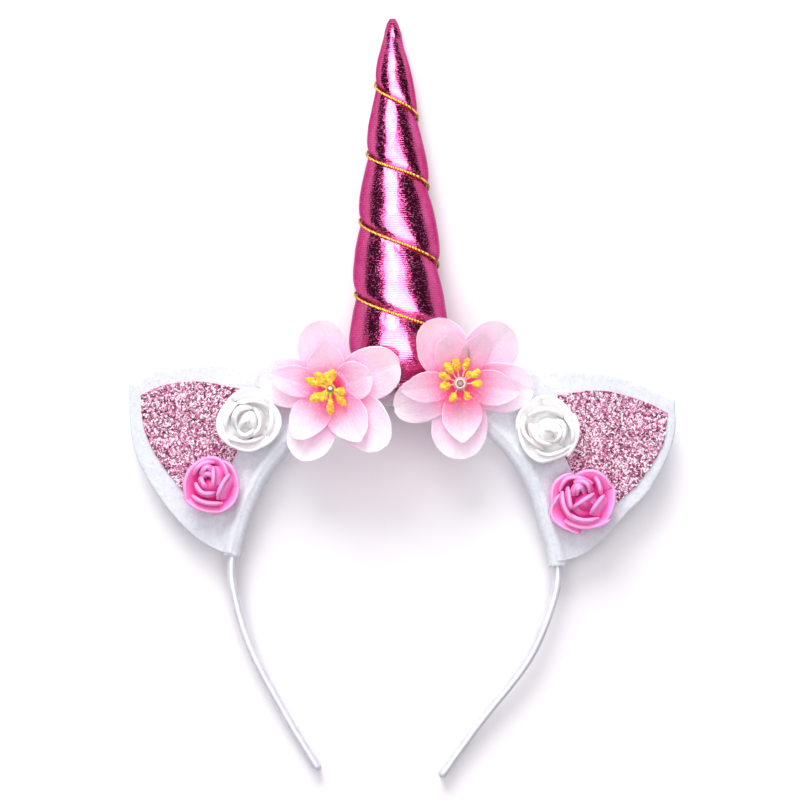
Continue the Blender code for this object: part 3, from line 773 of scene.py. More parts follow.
def make_band():
    """A flat hoop strip wrapped in satin, with the ribbon's overlap running along its top."""
    length = 0.0
    rows = []
    for station in range(BAND_STATIONS + 1):
        here, out, along = band_frame(-LAST_FOLD + 2 * LAST_FOLD * (station / BAND_STATIONS))
        if rows:
            length += (here - rows[-1][0]).length
        rows.append((here, out, along, length))
    rings = []
    marks = []
    for here, out, along, run in rows:
        up = out.cross(along)
        up = up if up.z > 0.0 else -up
        left = min(run, length - run)
        close = math.sqrt(max(1.0 - max(1.0 - left / END_ROUND, 0.0) ** 2.4, 0.0)) * 0.9 + 0.1
        ring = []
        for side in range(BAND_AROUND):
            angle = 2 * math.pi * side / BAND_AROUND
            across = math.copysign(abs(math.cos(angle)) ** 0.72, math.cos(angle))
            rise = math.copysign(abs(math.sin(angle)) ** 0.80, math.sin(angle))
            lap = RIBBON_LAP * (soft_step(1.25, 1.45, angle) - soft_step(1.5, 4.6, angle))
            creases = 0.00005 * uneven((side * 0.0004, run, 0.0), 0.0024, 2.0)
            pinch = 0.00016 * math.exp(-(left / 0.0024) ** 2) * math.cos(5 * angle + run * 900.0)
            thick = (BAND_THICK / 2 - RIBBON_LAP) * close + lap + creases + pinch
            deep = (BAND_DEEP / 2 - RIBBON_LAP) * close + lap + creases + pinch
            ring.append(here + out * across * thick + up * rise * deep)
            marks.append((side / BAND_AROUND * RIBBON_WIDE, run))
        rings.append(ring)
    fit(join_shapes("satin_band", [(*closed_skin(rings), marks)], make_satin()), "band")


# Felt ears and crown sleeve

ROLL_HALF_WIDE = BAND_THICK / 2 + GAP + FELT
ROLL_HALF_TALL = BAND_DEEP / 2 + GAP + FELT
ROLL_ARC = 15
PANEL_STEPS = 34
CUT_EDGE = 0.0009
CUT_SPLIT = 0.0006
EDGE_STEPS = (0.62, 0.80, 0.91, 0.965, 0.99, 1.0)
ROLL_BEND = 2.3
EDGE_BEND = 2.6
SOFT_JOIN = 5
EASE = 0.0066
FIBRES_PER_SQUARE_METRE = 420000.0
FIBRE_RADIUS = 0.00003


def make_felt():
    """White felt: pressed wool with a bluish cast, matted into small tufts, with painted shade in their
    hollows and painted light on the raised hairs.
    """
    paint = Paint("felt_white", (0.78, 0.82, 0.87), roughness=0.95, sheen_weight=0.25, sheen_roughness=0.6)
    tufts = paint.grain(420.0, 4.0, 0.65, warp=0.8)
    clouds = paint.grain(110.0, 3.0, 0.6)
    hairs = paint.grain(1000.0, 4.0, 0.75, warp=1.0)
    pale = paint.blend(clouds.between(0.3, 0.7), (0.685, 0.74, 0.785), (0.73, 0.78, 0.815))
    # Painted shade: darker bluish colour in the hollows of the tufts and hairs, the low parts of the relief
    # below
    hollow_shade = tufts.between(0.54, 0.34) * 0.5 + hairs.between(0.46, 0.32) * 0.5
    shade = paint.blend(hollow_shade, pale, (0.60, 0.63, 0.71))
    # Painted light: the raised hairs are lighter
    paint.give("Base Color", paint.blend(hairs.between(0.50, 0.68) * 0.6, shade, (0.82, 0.84, 0.88)))
    low = paint.relief(clouds, 0.25, 0.0012)
    matted = paint.relief(tufts, 0.40, 0.0006, low)
    paint.give("Normal", paint.relief(hairs, 0.5, 0.00025, matted))
    return paint.material


FELT_WHITE = make_felt()


def reach_at(outline, fold):
    """Distance from the band's middle line to the cut edge, as a share, at a fold."""
    rows = sorted(outline)
    low = 0
    while low < len(rows) - 2 and rows[low + 1][0] < fold:
        low += 1
    start, end = rows[low], rows[low + 1]
    width = end[0] - start[0]
    part = min(max((fold - start[0]) / width, 0.0), 1.0)
    slope = (end[1] - start[1]) / width
    leave = arrive = slope
    if not start[2] and low > 0:
        leave = (end[1] - rows[low - 1][1]) / (end[0] - rows[low - 1][0])
    if not end[2] and low + 2 < len(rows):
        arrive = (rows[low + 2][1] - start[1]) / (rows[low + 2][0] - start[0])
    return eased(start[1], end[1], leave * width, arrive * width, part)


def felt_section(reach, ease):
    """Across the folded felt: pairs of distance out and height above its middle, top side first.

    The ease is how far out the stiff felt takes to come down from the roll to the flat panel.
    """
    top = []
    wide = max(reach, ROLL_HALF_WIDE + 0.00002)

    def height(out):
        side = min(abs(out) / ROLL_HALF_WIDE, 1.0)
        roll = ROLL_HALF_TALL * (1.0 - side ** ROLL_BEND) ** (1 / ROLL_BEND)
        slope = ROLL_HALF_TALL * 0.96 * math.exp(-(abs(out) / ease) ** 1.7)
        edge = min(max((wide - out) / CUT_EDGE, 0.0), 1.0)
        panel = EAR_PANEL / 2 * (1.0 - (1.0 - edge) ** EDGE_BEND) ** (1 / EDGE_BEND)
        if out < 0.0 or wide < ROLL_HALF_WIDE + 0.0004:
            return roll
        return sum(part ** SOFT_JOIN for part in (roll, panel, slope * edge)) ** (1 / SOFT_JOIN)

    for step in range(ROLL_ARC):
        out = -ROLL_HALF_WIDE * math.cos(math.radians(150) * step / (ROLL_ARC - 1))
        top.append((out, height(out)))
    start = top[-1][0]
    edge = max(wide - CUT_EDGE, start)
    for step in range(1, PANEL_STEPS + 1):
        part = step / PANEL_STEPS
        out = start + (edge - start) * (0.65 * part + 0.35 * part * part)
        top.append((out, height(out)))
    for part in EDGE_STEPS:
        out = edge + (wide - edge) * part
        top.append((out, max(height(out), 0.0001)))
    split = (max(wide - CUT_SPLIT, start), 0.0)
    return top + [split] + [(out, -high) for out, high in reversed(top[1:])]


def make_felt_piece(name, node, first, last, stations, reach, wrapped=False):
    """Felt folded over the band and glued to itself, from one fold of the band to another.

    A wrapped piece goes all round the band and is hollow.
    """
    rows = []
    linings = []
    for station in range(stations + 1):
        fold = first + (last - first) * station / stations
        here, out, _ = band_frame(fold)
        ends = min(station, stations - station) / stations * abs(last - first)
        inward = 1.0 - 0.0005 * math.exp(-ends / 0.03) / ROLL_HALF_WIDE
        far = reach(fold)
        cut = here + out * far
        jag = 0.00022 * uneven(cut, 0.0035, 4.0) + 0.00012 * uneven(cut, 0.0011, 7.0)
        ease = EASE + 0.0022 * uneven(here, 0.014, 9.0) + 0.0006 * uneven(here, 0.004, 3.0)
        row = []
        lining = []
        for side, high in felt_section(far + jag, ease + 0.0008 * math.copysign(1.0, fold)):
            point = here + out * side
            lumps = 0.00016 * uneven(point, 0.006, 1.0) + 0.00009 * uneven(point, 0.0021, 2.0)
            full = high * inward + math.copysign(lumps, high) * min(abs(high) / 0.001, 1.0)
            row.append(Vector((point.x, point.y, plane_height(point.y) + full)))
            point = here + out * side * (1.0 - FELT / ROLL_HALF_WIDE)
            full *= 1.0 - FELT / ROLL_HALF_TALL
            lining.append(Vector((point.x, point.y, plane_height(point.y) + full)))
        rows.append(row)
        linings.append(lining)
    points, faces = skin(rows + linings[::-1] + rows[:1], True) if wrapped else closed_skin(rows)
    piece = add_piece(name, points, faces, FELT_WHITE)
    tidy_skin(piece)
    fit(piece, node)
    return piece


def fray(name, felt, seed):
    """Loose wool fibres standing off the felt."""
    guide = bpy.data.objects.new(name + "_guide", felt.data.copy())
    bpy.context.scene.collection.objects.link(guide)
    recipe = Recipe("loose_fibres", ("Density", "Length", "Thickness", "Seed"))
    curl = recipe.node("GeometryNodeCurvePrimitiveBezierSegment", None, {
        "Resolution": 4, "Start": (0.0, 0.0, -0.0001), "Start Handle": (0.0004, 0.0, 0.0003),
        "End Handle": (0.0011, 0.0004, 0.0007), "End": (0.0016, 0.0009, 0.0003)})
    hair = recipe.tube(curl, recipe.given("Thickness"), 3)
    hairs = recipe.strew(hair, recipe.chance(0.5, 1.4, 12) * recipe.given("Length"), 0.5, 11)
    piece = recipe.make(name, guide, hairs, FELT_WHITE,
                        Density=FIBRES_PER_SQUARE_METRE, Length=1.0, Thickness=FIBRE_RADIUS, Seed=seed)
    fit(piece)


def make_ears():
    for side, word, outline in ((-1, "left", EAR_LEFT), (1, "right", EAR_RIGHT)):
        ear = make_felt_piece("felt_ear_" + word, "ear_felt_" + word, side * 1.0, side * 5.0, 260,
                              lambda fold, rows=outline: reach_at(rows, abs(fold)) * EAR_OUT)
        fray("felt_fibres_" + word, ear, 3.0 + side)
    crown = make_felt_piece("felt_crown", "crown_felt", -0.985, 0.985, 60, lambda fold: 0.0, wrapped=True)


make_band()
make_ears()


# Glitter on the ears

FLAKES_PER_SQUARE_METRE = 4.2e6
FLAKE_RADIUS = 0.00052
FLAKE_THICK = 0.00007
BACKING_THICK = 0.00055
BACKING_TINT = 0.42
BACKING_RINGS = (0.004, 0.15, 0.3, 0.45, 0.6, 0.75, 0.87, 0.95, 0.985)
FLAKE_RINGS = (0.004, 0.3, 0.6, 0.9, 0.985)


def make_glitter():
    """Flakes, each of one tint from near white over rose to dark maroon: the near-white ones are painted
    glints, the near-black ones painted shade, the rose ones the glitter's own colour.
    """
    paint = Paint("glitter_pink", (0.66, 0.22, 0.38), roughness=0.4, specular_ior_level=0.25)
    # Painted glints and shade: the light end of the ramp stands for flakes catching the light, the dark end
    # for flakes turned from it
    stops = (
        (0.0, (0.05, 0.002, 0.015)), (0.34, (0.16, 0.008, 0.05)), (0.42, (0.50, 0.10, 0.27)),
        (0.56, (0.62, 0.20, 0.40)), (0.64, (0.95, 0.78, 0.88)), (1.0, (1.0, 0.97, 1.0)),
    )
    shade = paint.ramp(stops, paint.attribute("tint"))
    speck = paint.cells(1900.0)
    paint.give("Base Color", paint.blend(speck.between(0.15, 0.6) * 0.1, shade, (0.45, 0.09, 0.21)))
    paint.give("Roughness", speck * 0.25 + 0.30)
    paint.give("Normal", paint.relief(paint.grain(2600.0), 0.3, 0.00008))
    return paint.material


def curved_outline(outline, side, steps):
    """Plan points round a cut sheet: straight into corners, smooth elsewhere."""
    rows = [(off_band(side * fold, out), corner) for fold, out, corner in outline]
    count = len(rows)
    points = []
    for number in range(count):
        start, start_corner = rows[number]
        end, end_corner = rows[(number + 1) % count]
        leave = end - start if start_corner else (end - rows[number - 1][0]) / 2
        arrive = end - start if end_corner else (rows[(number + 2) % count][0] - start) / 2
        points += [eased(start, end, leave, arrive, step / steps) for step in range(steps)]
    return points


def make_glitter_sheet(side, word, outline, paint):
    """A glued sheet with a raw edge, and the flakes strewn on it."""
    edge = curved_outline(outline, side, 14)
    middle = sum(edge, Vector((0.0, 0.0))) / len(edge)

    def ring(share, height):
        row = []
        for point in edge:
            spot = middle.lerp(point, share)
            if share == 1.0:
                here = (spot.x, spot.y, 0.0)
                spot += Vector((uneven(here, 0.0012, 1.0), uneven(here, 0.0012, 6.0))) * 0.00016
            base = plane_height(spot.y) + EAR_PANEL / 2 + GAP
            row.append(Vector((spot.x, spot.y, base + height)))
        return row

    rows = [ring(share, 0.0) for share in BACKING_RINGS] + [ring(1.0, 0.0001), ring(1.0, 0.00045)]
    rows += [ring(share, BACKING_THICK) for share in reversed(BACKING_RINGS)]
    sheet = add_piece("glitter_backing_" + word, *closed_skin(rows), paint)
    tidy_skin(sheet)
    tints = sheet.data.attributes.new("tint", "FLOAT", "POINT")
    tints.data.foreach_set("value", [BACKING_TINT] * len(sheet.data.vertices))
    fit(sheet, "glitter_" + word)
    size = [max(point[axis] for point in edge) - min(point[axis] for point in edge) for axis in (0, 1)]

    bed = add_piece("flake_bed", *skin([ring(share, BACKING_THICK) for share in FLAKE_RINGS], True), paint)
    if bed.data.polygons[0].normal.z < 0:
        bed.data.flip_normals()
    recipe = Recipe("scattered_flakes", ("Density", "Flake", "Seed"))
    plate = recipe.node("GeometryNodeMeshCylinder", None,
                        {"Vertices": 6, "Radius": recipe.given("Flake"), "Depth": FLAKE_THICK})
    flakes = recipe.strew(plate, recipe.chance(0.65, 1.35, 6), 0.62, 5)
    named = recipe.node("GeometryNodeStoreNamedAttribute", {"data_type": "FLOAT", "domain": "INSTANCE"},
                        {"Geometry": flakes, "Name": "tint", "Value": recipe.chance(0.0, 1.0, 7)})
    fit(recipe.make("glitter_flakes_" + word, bed, named, paint,
                    Density=FLAKES_PER_SQUARE_METRE, Flake=FLAKE_RADIUS, Seed=20.0 + side))


GLITTER = make_glitter()
make_glitter_sheet(-1, "left", GLITTER_LEFT, GLITTER)
make_glitter_sheet(1, "right", GLITTER_RIGHT, GLITTER)


# Foam roses: fold of the band, distance out, radius in metres
ROSES = (
    {"name": "rose_white_left", "fold": -2.46, "out": 0.260, "radius": 0.0122, "colour": "white"},
    {"name": "rose_pink_left", "fold": -3.71, "out": 0.244, "radius": 0.0112, "colour": "pink"},
    {"name": "rose_white_right", "fold": 2.445, "out": 0.242, "radius": 0.0124, "colour": "white"},
    {"name": "rose_pink_right", "fold": 3.64, "out": 0.250, "radius": 0.0128, "colour": "pink"},
)
# Petal lips, seen from above, each with its outer side to the right of its run: layer, then
# direction in degrees and distance as a radius share at start, middle and end, height, belly
ROSE_PETALS = {
    "rose_white_left": (
        (0, 306, 1.01, 350, 1.05, 28, 0.92, 0.66, -0.02), (0, 237, 1.03, 278, 1.00, 318, 0.80, 0.60, -0.02),
        (0, 136, 0.92, 190, 1.03, 233, 1.04, 0.62, -0.02), (0, 40, 1.00, 88, 1.02, 138, 0.93, 0.58, -0.02),
        (1, 213, 0.93, 262, 0.73, 314, 0.74, 0.76, 0.04), (1, 318, 0.80, 356, 0.78, 26, 0.79, 0.78, 0.04),
        (1, 26, 0.72, 62, 0.70, 125, 0.67, 0.80, 0.04), (1, 125, 0.69, 172, 0.72, 207, 0.83, 0.76, 0.04),
        (1, 278, 0.57, 341, 0.43, 67, 0.48, 0.90, 0.08), (1, 67, 0.45, 148, 0.45, 221, 0.49, 0.90, 0.08),
        (2, 221, 0.47, 257, 0.53, 302, 0.36, 0.95, 0.06), (2, 257, 0.30, 200, 0.10, 222, 0.46, 1.00, 0.05),
    ),
    "rose_pink_left": (
        (0, 34, 0.70, 73, 1.00, 102, 0.98, 0.60, -0.04), (0, 358, 0.98, 30, 1.00, 56, 1.02, 0.56, -0.04),
        (0, 285, 1.02, 323, 1.00, 358, 0.98, 0.56, -0.04), (0, 210, 1.06, 243, 0.93, 285, 1.02, 0.60, -0.02),
        (0, 108, 1.02, 155, 0.94, 207, 1.04, 0.64, -0.04), (1, 80, 0.86, 112, 0.86, 147, 0.74, 0.76, 0.02),
        (1, 205, 0.77, 250, 0.63, 306, 0.77, 0.78, 0.03), (1, 295, 0.57, 358, 0.40, 33, 0.84, 0.84, 0.30),
        (1, 165, 0.58, 225, 0.36, 325, 0.30, 0.90, 0.05), (1, 303, 0.12, 70, 0.34, 84, 0.74, 0.93, 0.26),
        (2, 85, 0.55, 101, 0.70, 130, 0.52, 0.96, 0.04), (2, 130, 0.50, 150, 0.33, 228, 0.15, 0.98, 0.04),
        (2, 70, 0.32, 103, 0.47, 125, 0.36, 1.00, 0.04),
    ),
    "rose_white_right": (
        (0, 316, 1.08, 351, 1.00, 23, 1.00, 0.58, -0.02), (0, 23, 0.98, 75, 1.03, 108, 1.07, 0.58, -0.02),
        (0, 108, 1.05, 142, 1.03, 170, 0.98, 0.60, -0.02), (0, 170, 0.98, 221, 0.95, 257, 1.08, 0.58, -0.02),
        (0, 257, 1.08, 278, 0.97, 315, 1.06, 0.56, -0.02), (1, 238, 0.73, 278, 0.82, 328, 0.92, 0.68, 0.0),
        (1, 328, 0.90, 0, 0.82, 38, 0.70, 0.70, 0.02), (1, 38, 0.66, 92, 0.68, 145, 0.76, 0.84, 0.03),
        (1, 147, 0.82, 190, 0.76, 262, 0.66, 0.78, 0.03), (1, 157, 0.60, 220, 0.47, 290, 0.52, 0.92, 0.05),
        (1, 308, 0.62, 0, 0.56, 51, 0.44, 0.90, 0.05), (2, 297, 0.44, 344, 0.44, 48, 0.34, 0.96, 0.04),
        (2, 316, 0.42, 0, 0.16, 196, 0.24, 1.00, 0.30),
    ),
    "rose_pink_right": (
        (0, 166, 0.75, 205, 1.08, 255, 1.00, 0.50, -0.04), (0, 121, 0.98, 148, 1.08, 178, 0.96, 0.56, -0.04),
        (0, 37, 0.99, 67, 1.04, 96, 0.90, 0.60, -0.04), (0, 320, 0.96, 355, 0.93, 20, 1.05, 0.58, -0.04),
        (0, 233, 0.85, 277, 0.81, 318, 1.01, 0.62, -0.02), (1, 63, 0.66, 118, 0.90, 156, 0.83, 0.70, 0.0),
        (1, 24, 0.60, 49, 0.74, 67, 0.90, 0.74, 0.0), (1, 212, 0.60, 264, 0.56, 316, 0.70, 0.80, 0.10),
        (1, 296, 0.44, 354, 0.42, 21, 0.71, 0.82, 0.26), (1, 151, 0.76, 196, 0.63, 250, 0.66, 0.82, 0.02),
        (1, 134, 0.72, 178, 0.46, 210, 0.44, 0.90, 0.03), (1, 58, 0.36, 87, 0.64, 118, 0.72, 0.90, 0.03),
        (1, 206, 0.46, 104, 0.12, 41, 0.47, 0.92, 0.34), (2, 92, 0.30, 110, 0.58, 149, 0.42, 0.98, 0.04),
        (2, 98, 0.36, 110, 0.50, 136, 0.33, 1.00, 0.04),
    ),
}
LAYER_NAMES = ("outer_petals", "inner_petals", "bud")
FOAM_THICK = 0.00155
FOAM_FOOT = 0.0006
LIP_ROLL = 0.00012
LIP_TURNS = (30, 60, 90, 120, 150)
# Foam between the petals, from its foot up: radius share, height share
CORE_ROWS = ((0.02, 0.0), (0.8, 0.0), (1.0, 0.12), (0.97, 0.45), (0.80, 0.75), (0.5, 0.95), (0.02, 1.0))


def make_foam(name, pale, deep, mid):
    """Foam sheet: matt, very finely celled, darker at the foot as painted shade and paler at the lips as
    painted light.
    """
    paint = Paint(name, mid, roughness=0.62, subsurface_weight=0.3, subsurface_scale=1.0,
                  subsurface_radius=(0.0014, 0.0008, 0.0008))
    up = paint.along(1)
    cloud = paint.grain(350.0, 2.0)
    # Painted shade and light: deep at the foot, where the petals shade each other, through mid, to pale at
    # the lit lips
    stops = ((0.0, deep), (0.30, deep), (0.58, mid), (0.86, pale), (1.0, pale))
    paint.give("Base Color", paint.ramp(stops, up + (cloud - 0.5) * 0.10))
    paint.give("Roughness", cloud * 0.2 + 0.5)
    cells = paint.cells(5200.0)
    fine = paint.relief(cells, 0.12, 0.00006)
    paint.give("Normal", paint.relief(paint.grain(700.0, 3.0), 0.15, 0.00025, fine))
    return paint.material


# Per colour: pale is the painted light of the lips, deep the painted shade at the foot, mid the foam's own
# colour
FOAM = {
    "white": make_foam("foam_white", (0.90, 0.90, 0.90), (0.895, 0.888, 0.875), (0.90, 0.898, 0.892)),
    "pink": make_foam("foam_pink", (0.94, 0.33, 0.68), (0.70, 0.01, 0.27), (0.90, 0.12, 0.50)),
}


def rose_spot(rose, flat, height):
    """A point over the felt at a place beside the rose's middle."""
    middle = off_band(rose["fold"], rose["out"])
    up = middle.y + flat.y
    base = plane_height(up) + EAR_PANEL / 2 + 2 * GAP + GLITTER_THICK
    return Vector((middle.x + flat.x, up, base + height))


def foam_petal(rose, row, seed, steps=26, climb=9):
    """One thick petal: a wall from the rose's foot up to a rounded lip, closed all round."""
    layer, start, start_out, middle, middle_out, end, end_out, tall, belly = row
    size = rose["radius"]
    tuck, dip, root, bow = (0, 0.30, 0.60, 0.20) if layer else (10, 0.16, 0.42, 0.0)
    lean = 1.25 * belly * size if belly > 0.2 else 0.0
    first, through, last = (
        spoke(math.radians(direction)) * (out * size - 0.0004)
        for direction, out in ((start - tuck, start_out), (middle, middle_out), (end + tuck, end_out))
    )
    control = through * 2 - (first + last) * 0.5
    rows = []
    marks = []
    for step in range(steps + 1):
        part = step / steps
        lip = first * (1 - part) ** 2 + control * 2 * part * (1 - part) + last * part ** 2
        run = (control - first) * (1 - part) + (last - control) * part
        outward = Vector((run.y, -run.x)).normalized()
        away = abs(2 * part - 1)
        wave = 0.00025 * uneven((lip.x, lip.y, seed), 0.004, seed)
        high = ROSE_HEIGHT * tall * (1 - dip * away ** 3) + wave
        half = FOAM_THICK / 2 * (1 - 0.60 * away ** 5)
        foot = lip * root + outward * lean
        bulge = lip * 0.90 + outward * (belly + bow) * size
        ring = []
        spine = []
        for rise in range(climb):
            share = rise / (climb - 1)
            flat = foot * (1 - share) ** 2 + bulge * 2 * share * (1 - share) + lip * share ** 2
            level = FOAM_FOOT + (high - half - FOAM_FOOT) * share ** 0.92
            spine.append((flat, level, share * 0.9))
        spine.append((lip + outward * LIP_ROLL, high - half + LIP_ROLL, 0.95))
        for flat, level, share in spine:
            ring.append((rose_spot(rose, flat + outward * half, level), share))
        for turn in LIP_TURNS:
            angle = math.radians(turn)
            side = outward * (math.cos(angle) * half + LIP_ROLL)
            ring.append((rose_spot(rose, lip + side, high - half + math.sin(angle) * half), 1.0))
        for flat, level, share in reversed(spine):
            ring.append((rose_spot(rose, flat - outward * half, level), share))
        rows.append([spot for spot, _ in ring])
        marks += [(part, share) for _, share in ring]
    return *closed_skin(rows), marks


def foam_core(rose, top, wide):
    """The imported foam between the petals, glued to the felt."""
    def spot(row, angle):
        share, high = row
        reach = share * wide * rose["radius"] * (1 + 0.06 * math.sin(3 * angle + rose["fold"]))
        return rose_spot(rose, spoke(angle) * reach, high * top * ROSE_HEIGHT)

    # The core sits low on the foam's ramp, in its painted shade colour
    return turned(CORE_ROWS, 32, spot, lambda row, round_share: (round_share, 0.2))


def make_rose(rose):
    name, colour = rose["name"], rose["colour"]
    for layer, word in enumerate(LAYER_NAMES):
        shapes = [foam_petal(rose, row, number * 1.7 + 1.0)
                  for number, row in enumerate(ROSE_PETALS[name]) if row[0] == layer]
        if layer == 1:
            shapes.append(foam_core(rose, 0.50, 0.62))
        if layer == 2:
            shapes.append(foam_core(rose, 0.86, 0.36))
        piece = join_shapes("%s_%s_foam" % (name, word), shapes, FOAM[colour])
        fit(piece, "%s_%s" % (name, word))


for rose in ROSES:
    make_rose(rose)


# Cloth flowers

# Petals: direction in degrees, length share, half width share of the length, curl at the tip in
# half millimetres, how pointed
LEFT_OUTER = (
    (100, 0.90, 0.37, 1.4, 0.0), (171, 0.96, 0.35, 0.6, 0.1), (246, 1.02, 0.31, 0.9, 0.0),
    (314, 1.04, 0.33, 0.4, 0.0), (20, 0.96, 0.36, 1.2, 0.0),
)
LEFT_INNER = (
    (100, 0.62, 0.40, 1.2, 0.9), (167, 0.84, 0.25, 0.8, 0.9), (232, 0.80, 0.31, 1.0, 0.5),
    (301, 0.80, 0.34, 1.4, 0.7), (18, 0.57, 0.46, 1.8, 0.2),
)
RIGHT_OUTER = (
    (116, 0.91, 0.38, 1.0, 0.0), (48, 0.98, 0.36, 1.6, 0.0), (355, 0.98, 0.34, 0.4, 0.1),
    (270, 0.99, 0.38, 0.8, 0.0), (202, 0.92, 0.33, 1.0, 0.1),
)
RIGHT_INNER = (
    (105, 0.66, 0.36, 1.2, 0.2), (64, 0.73, 0.26, 1.6, 0.7), (352, 0.80, 0.30, 0.8, 0.9),
    (274, 0.78, 0.34, 0.9, 0.9), (187, 0.78, 0.26, 1.4, 0.8),
)
# Stamens: direction in degrees, reach share of the flower's radius, head size share
LEFT_STAMENS = (
    (159, 0.29, 1.2), (133, 0.225, 1.25), (108, 0.165, 1.1), (83, 0.195, 1.3), (345, 0.140, 1.2),
    (211, 0.25, 1.2), (270, 0.29, 1.05), (313, 0.25, 1.0), (232, 0.15, 1.1),
)
RIGHT_STAMENS = (
    (126, 0.285, 1.15), (101, 0.275, 1.25), (72, 0.300, 1.0), (33, 0.255, 1.15), (48, 0.165, 1.0),
    (0, 0.235, 1.2), (300, 0.190, 1.0), (242, 0.205, 1.15), (155, 0.250, 1.1), (188, 0.205, 1.25),
)
# Flowers: fold of the band, distance out, slopes out and up, petals, stamens, stem's radius and kind
FLOWERS = (
    {"name": "flower_left", "fold": -1.20, "out": 0.127, "lean_out": 0.36, "lean_up": 0.06,
     "outer": LEFT_OUTER, "inner": LEFT_INNER, "stamens": LEFT_STAMENS, "stem": 0.0014, "hollow": False},
    {"name": "flower_right", "fold": 0.97, "out": 0.130, "lean_out": -0.28, "lean_up": 0.20,
     "outer": RIGHT_OUTER, "inner": RIGHT_INNER, "stamens": RIGHT_STAMENS, "stem": 0.0022, "hollow": True},
)
OUTER_CUP = 0.0050
INNER_CUP = 0.0050
SOLID_PETAL = 0.0011
CLOTH = 0.00034
PETAL_ROOT = 0.0026
PETAL_WIDEST = 0.58
TIP_PULLED = 0.10
RUFFLE = 0.00085
RAGGED = 0.00016
RIM_CUP = 0.0007
SIDE_TILT = 0.0005
TIP_CURL = 0.0005
RIM_RIPPLE = 0.00075
MIDRIB_DEEP = 0.00028
CUP_DROP = 0.0003
HEAD_RADIUS = 0.00115
GRAINS_PER_SQUARE_METRE = 6.0e6
GRAIN_RADIUS = 0.00028
BEAD_TALL = 0.0012
STEM_ABOVE_BEAD = 0.0026


def make_petal_cloth(name, throat, base, body, rim):
    """Stiffened cloth: dyed dark at the throat, fading to the rim, with fine veins fanned along it."""
    paint = Paint(name, body, roughness=0.72, sheen_weight=0.3, subsurface_weight=0.7, subsurface_scale=1.0,
                  subsurface_radius=(0.0022, 0.0012, 0.0018), emission_strength=0.22)
    across = paint.along(0)
    up = paint.along(1)
    cloud = paint.grain(150.0, 3.0, 0.6)
    lane = paint.node("ShaderNodeCombineXYZ", None, {0: across * 9.0, 1: up * 1.3, 2: 0.0})
    veins = paint.grain(1.6, 4.0, 0.65, lane)
    reach = up + (cloud - 0.5) * 0.16 + (veins - 0.5) * 0.14
    stops = ((0.0, throat), (0.24, throat), (0.41, base), (0.62, body), (0.90, rim), (1.0, rim))
    shade = paint.ramp(stops, reach)
    fade = (1.0 - up.between(0.35, 0.98) * 0.6) * veins.between(0.50, 0.70) * 0.55
    veined = paint.blend(fade, shade, base)
    specks = paint.grain(950.0, 3.0, 0.7)
    veined = paint.blend(specks.between(0.48, 0.70) * 0.30, veined, (0.96, 0.90, 0.95))
    worn = across.absolute().most(up.between(0.80, 1.0)).between(0.94, 1.0) * cloud.between(0.3, 0.6) * 0.5
    paint.give("Base Color", paint.blend(worn, veined, (0.95, 0.86, 0.93)))
    # Painted light: the cloth glows a little, standing in for light that comes through the thin cloth, and
    # glows hot pink in the throat, standing in for light through its gathered layers
    deep = up.between(0.46, 0.20)
    paint.give("Emission Color", paint.blend(deep, (0.26, 0.13, 0.19), (0.95, 0.06, 0.28)))
    weave = paint.grain(2600.0, 2.0, 0.6)
    fine = paint.relief(weave + specks, 0.30, 0.00012)
    paint.give("Normal", paint.relief(veins + cloud * 0.6, 0.40, 0.0005, fine))
    return paint.material


PETAL_PALE = make_petal_cloth("petal_pale", (0.90, 0.12, 0.33), (0.93, 0.38, 0.60), (0.94, 0.58, 0.77),
                              (0.94, 0.74, 0.87))
PETAL_PINK = make_petal_cloth("petal_pink", (0.95, 0.06, 0.24), (0.96, 0.24, 0.46), (0.96, 0.50, 0.69),
                              (0.95, 0.67, 0.82))


def make_pollen():
    paint = Paint("pollen_yellow", (0.93, 0.60, 0.02), roughness=0.75, subsurface_weight=0.1,
                  subsurface_radius=(0.001, 0.0006, 0.0002))
    grain = paint.grain(1500.0, 3.0, 0.7)
    deep = paint.grain(500.0, 2.0)
    shade = paint.blend(deep.between(0.35, 0.65), (0.86, 0.42, 0.01), (0.95, 0.70, 0.03))
    paint.give("Base Color", paint.blend(grain.between(0.55, 0.75) * 0.5, shade, (0.98, 0.84, 0.25)))
    paint.give("Normal", paint.relief(grain, 0.6, 0.0003))
    return paint.material


def make_stem_paint(name, colour, dark, mirror=0.5):
    paint = Paint(name, colour, roughness=0.45, specular_ior_level=mirror)
    cloud = paint.grain(900.0, 3.0)
    paint.give("Base Color", paint.blend(cloud.between(0.35, 0.7), dark, colour))
    paint.give("Roughness", cloud * 0.3 + 0.3)
    paint.give("Normal", paint.relief(cloud, 0.3, 0.0002))
    return paint.material


POLLEN = make_pollen()
STEM = {
    "flower_left": make_stem_paint("stem_brown", (0.42, 0.24, 0.15), (0.22, 0.09, 0.05)),
    "flower_right": make_stem_paint("stem_cream", (0.82, 0.66, 0.55), (0.60, 0.40, 0.32)),
}
STALK = make_stem_paint("stalk_rose", (0.85, 0.42, 0.40), (0.70, 0.25, 0.28))


def petal_height(flower, x, y, cup):
    """Underside of the outer petals above the felt, or of a sheet further curved up."""
    radius = math.hypot(x, y)
    part = soft_step(THROAT_FOOT, THROAT_RADIUS, radius)
    rise = FLOWER_LIFT + flower["lean_out"] * x + flower["lean_up"] * y
    return GAP + part * rise + cup * (radius / FLOWER_RADIUS) ** 2


def cloth_rise(flower, x, y, cup):
    """The solids' cloth thickness measured straight up, more where it is steep."""
    radius = max(math.hypot(x, y), THROAT_FOOT / 10)
    step = FLOWER_RADIUS / 80
    ahead = 1 + step / radius
    slope = (petal_height(flower, x * ahead, y * ahead, cup) - petal_height(flower, x, y, cup)) / step
    return SOLID_PETAL * min(math.hypot(1.0, slope), 2.2)


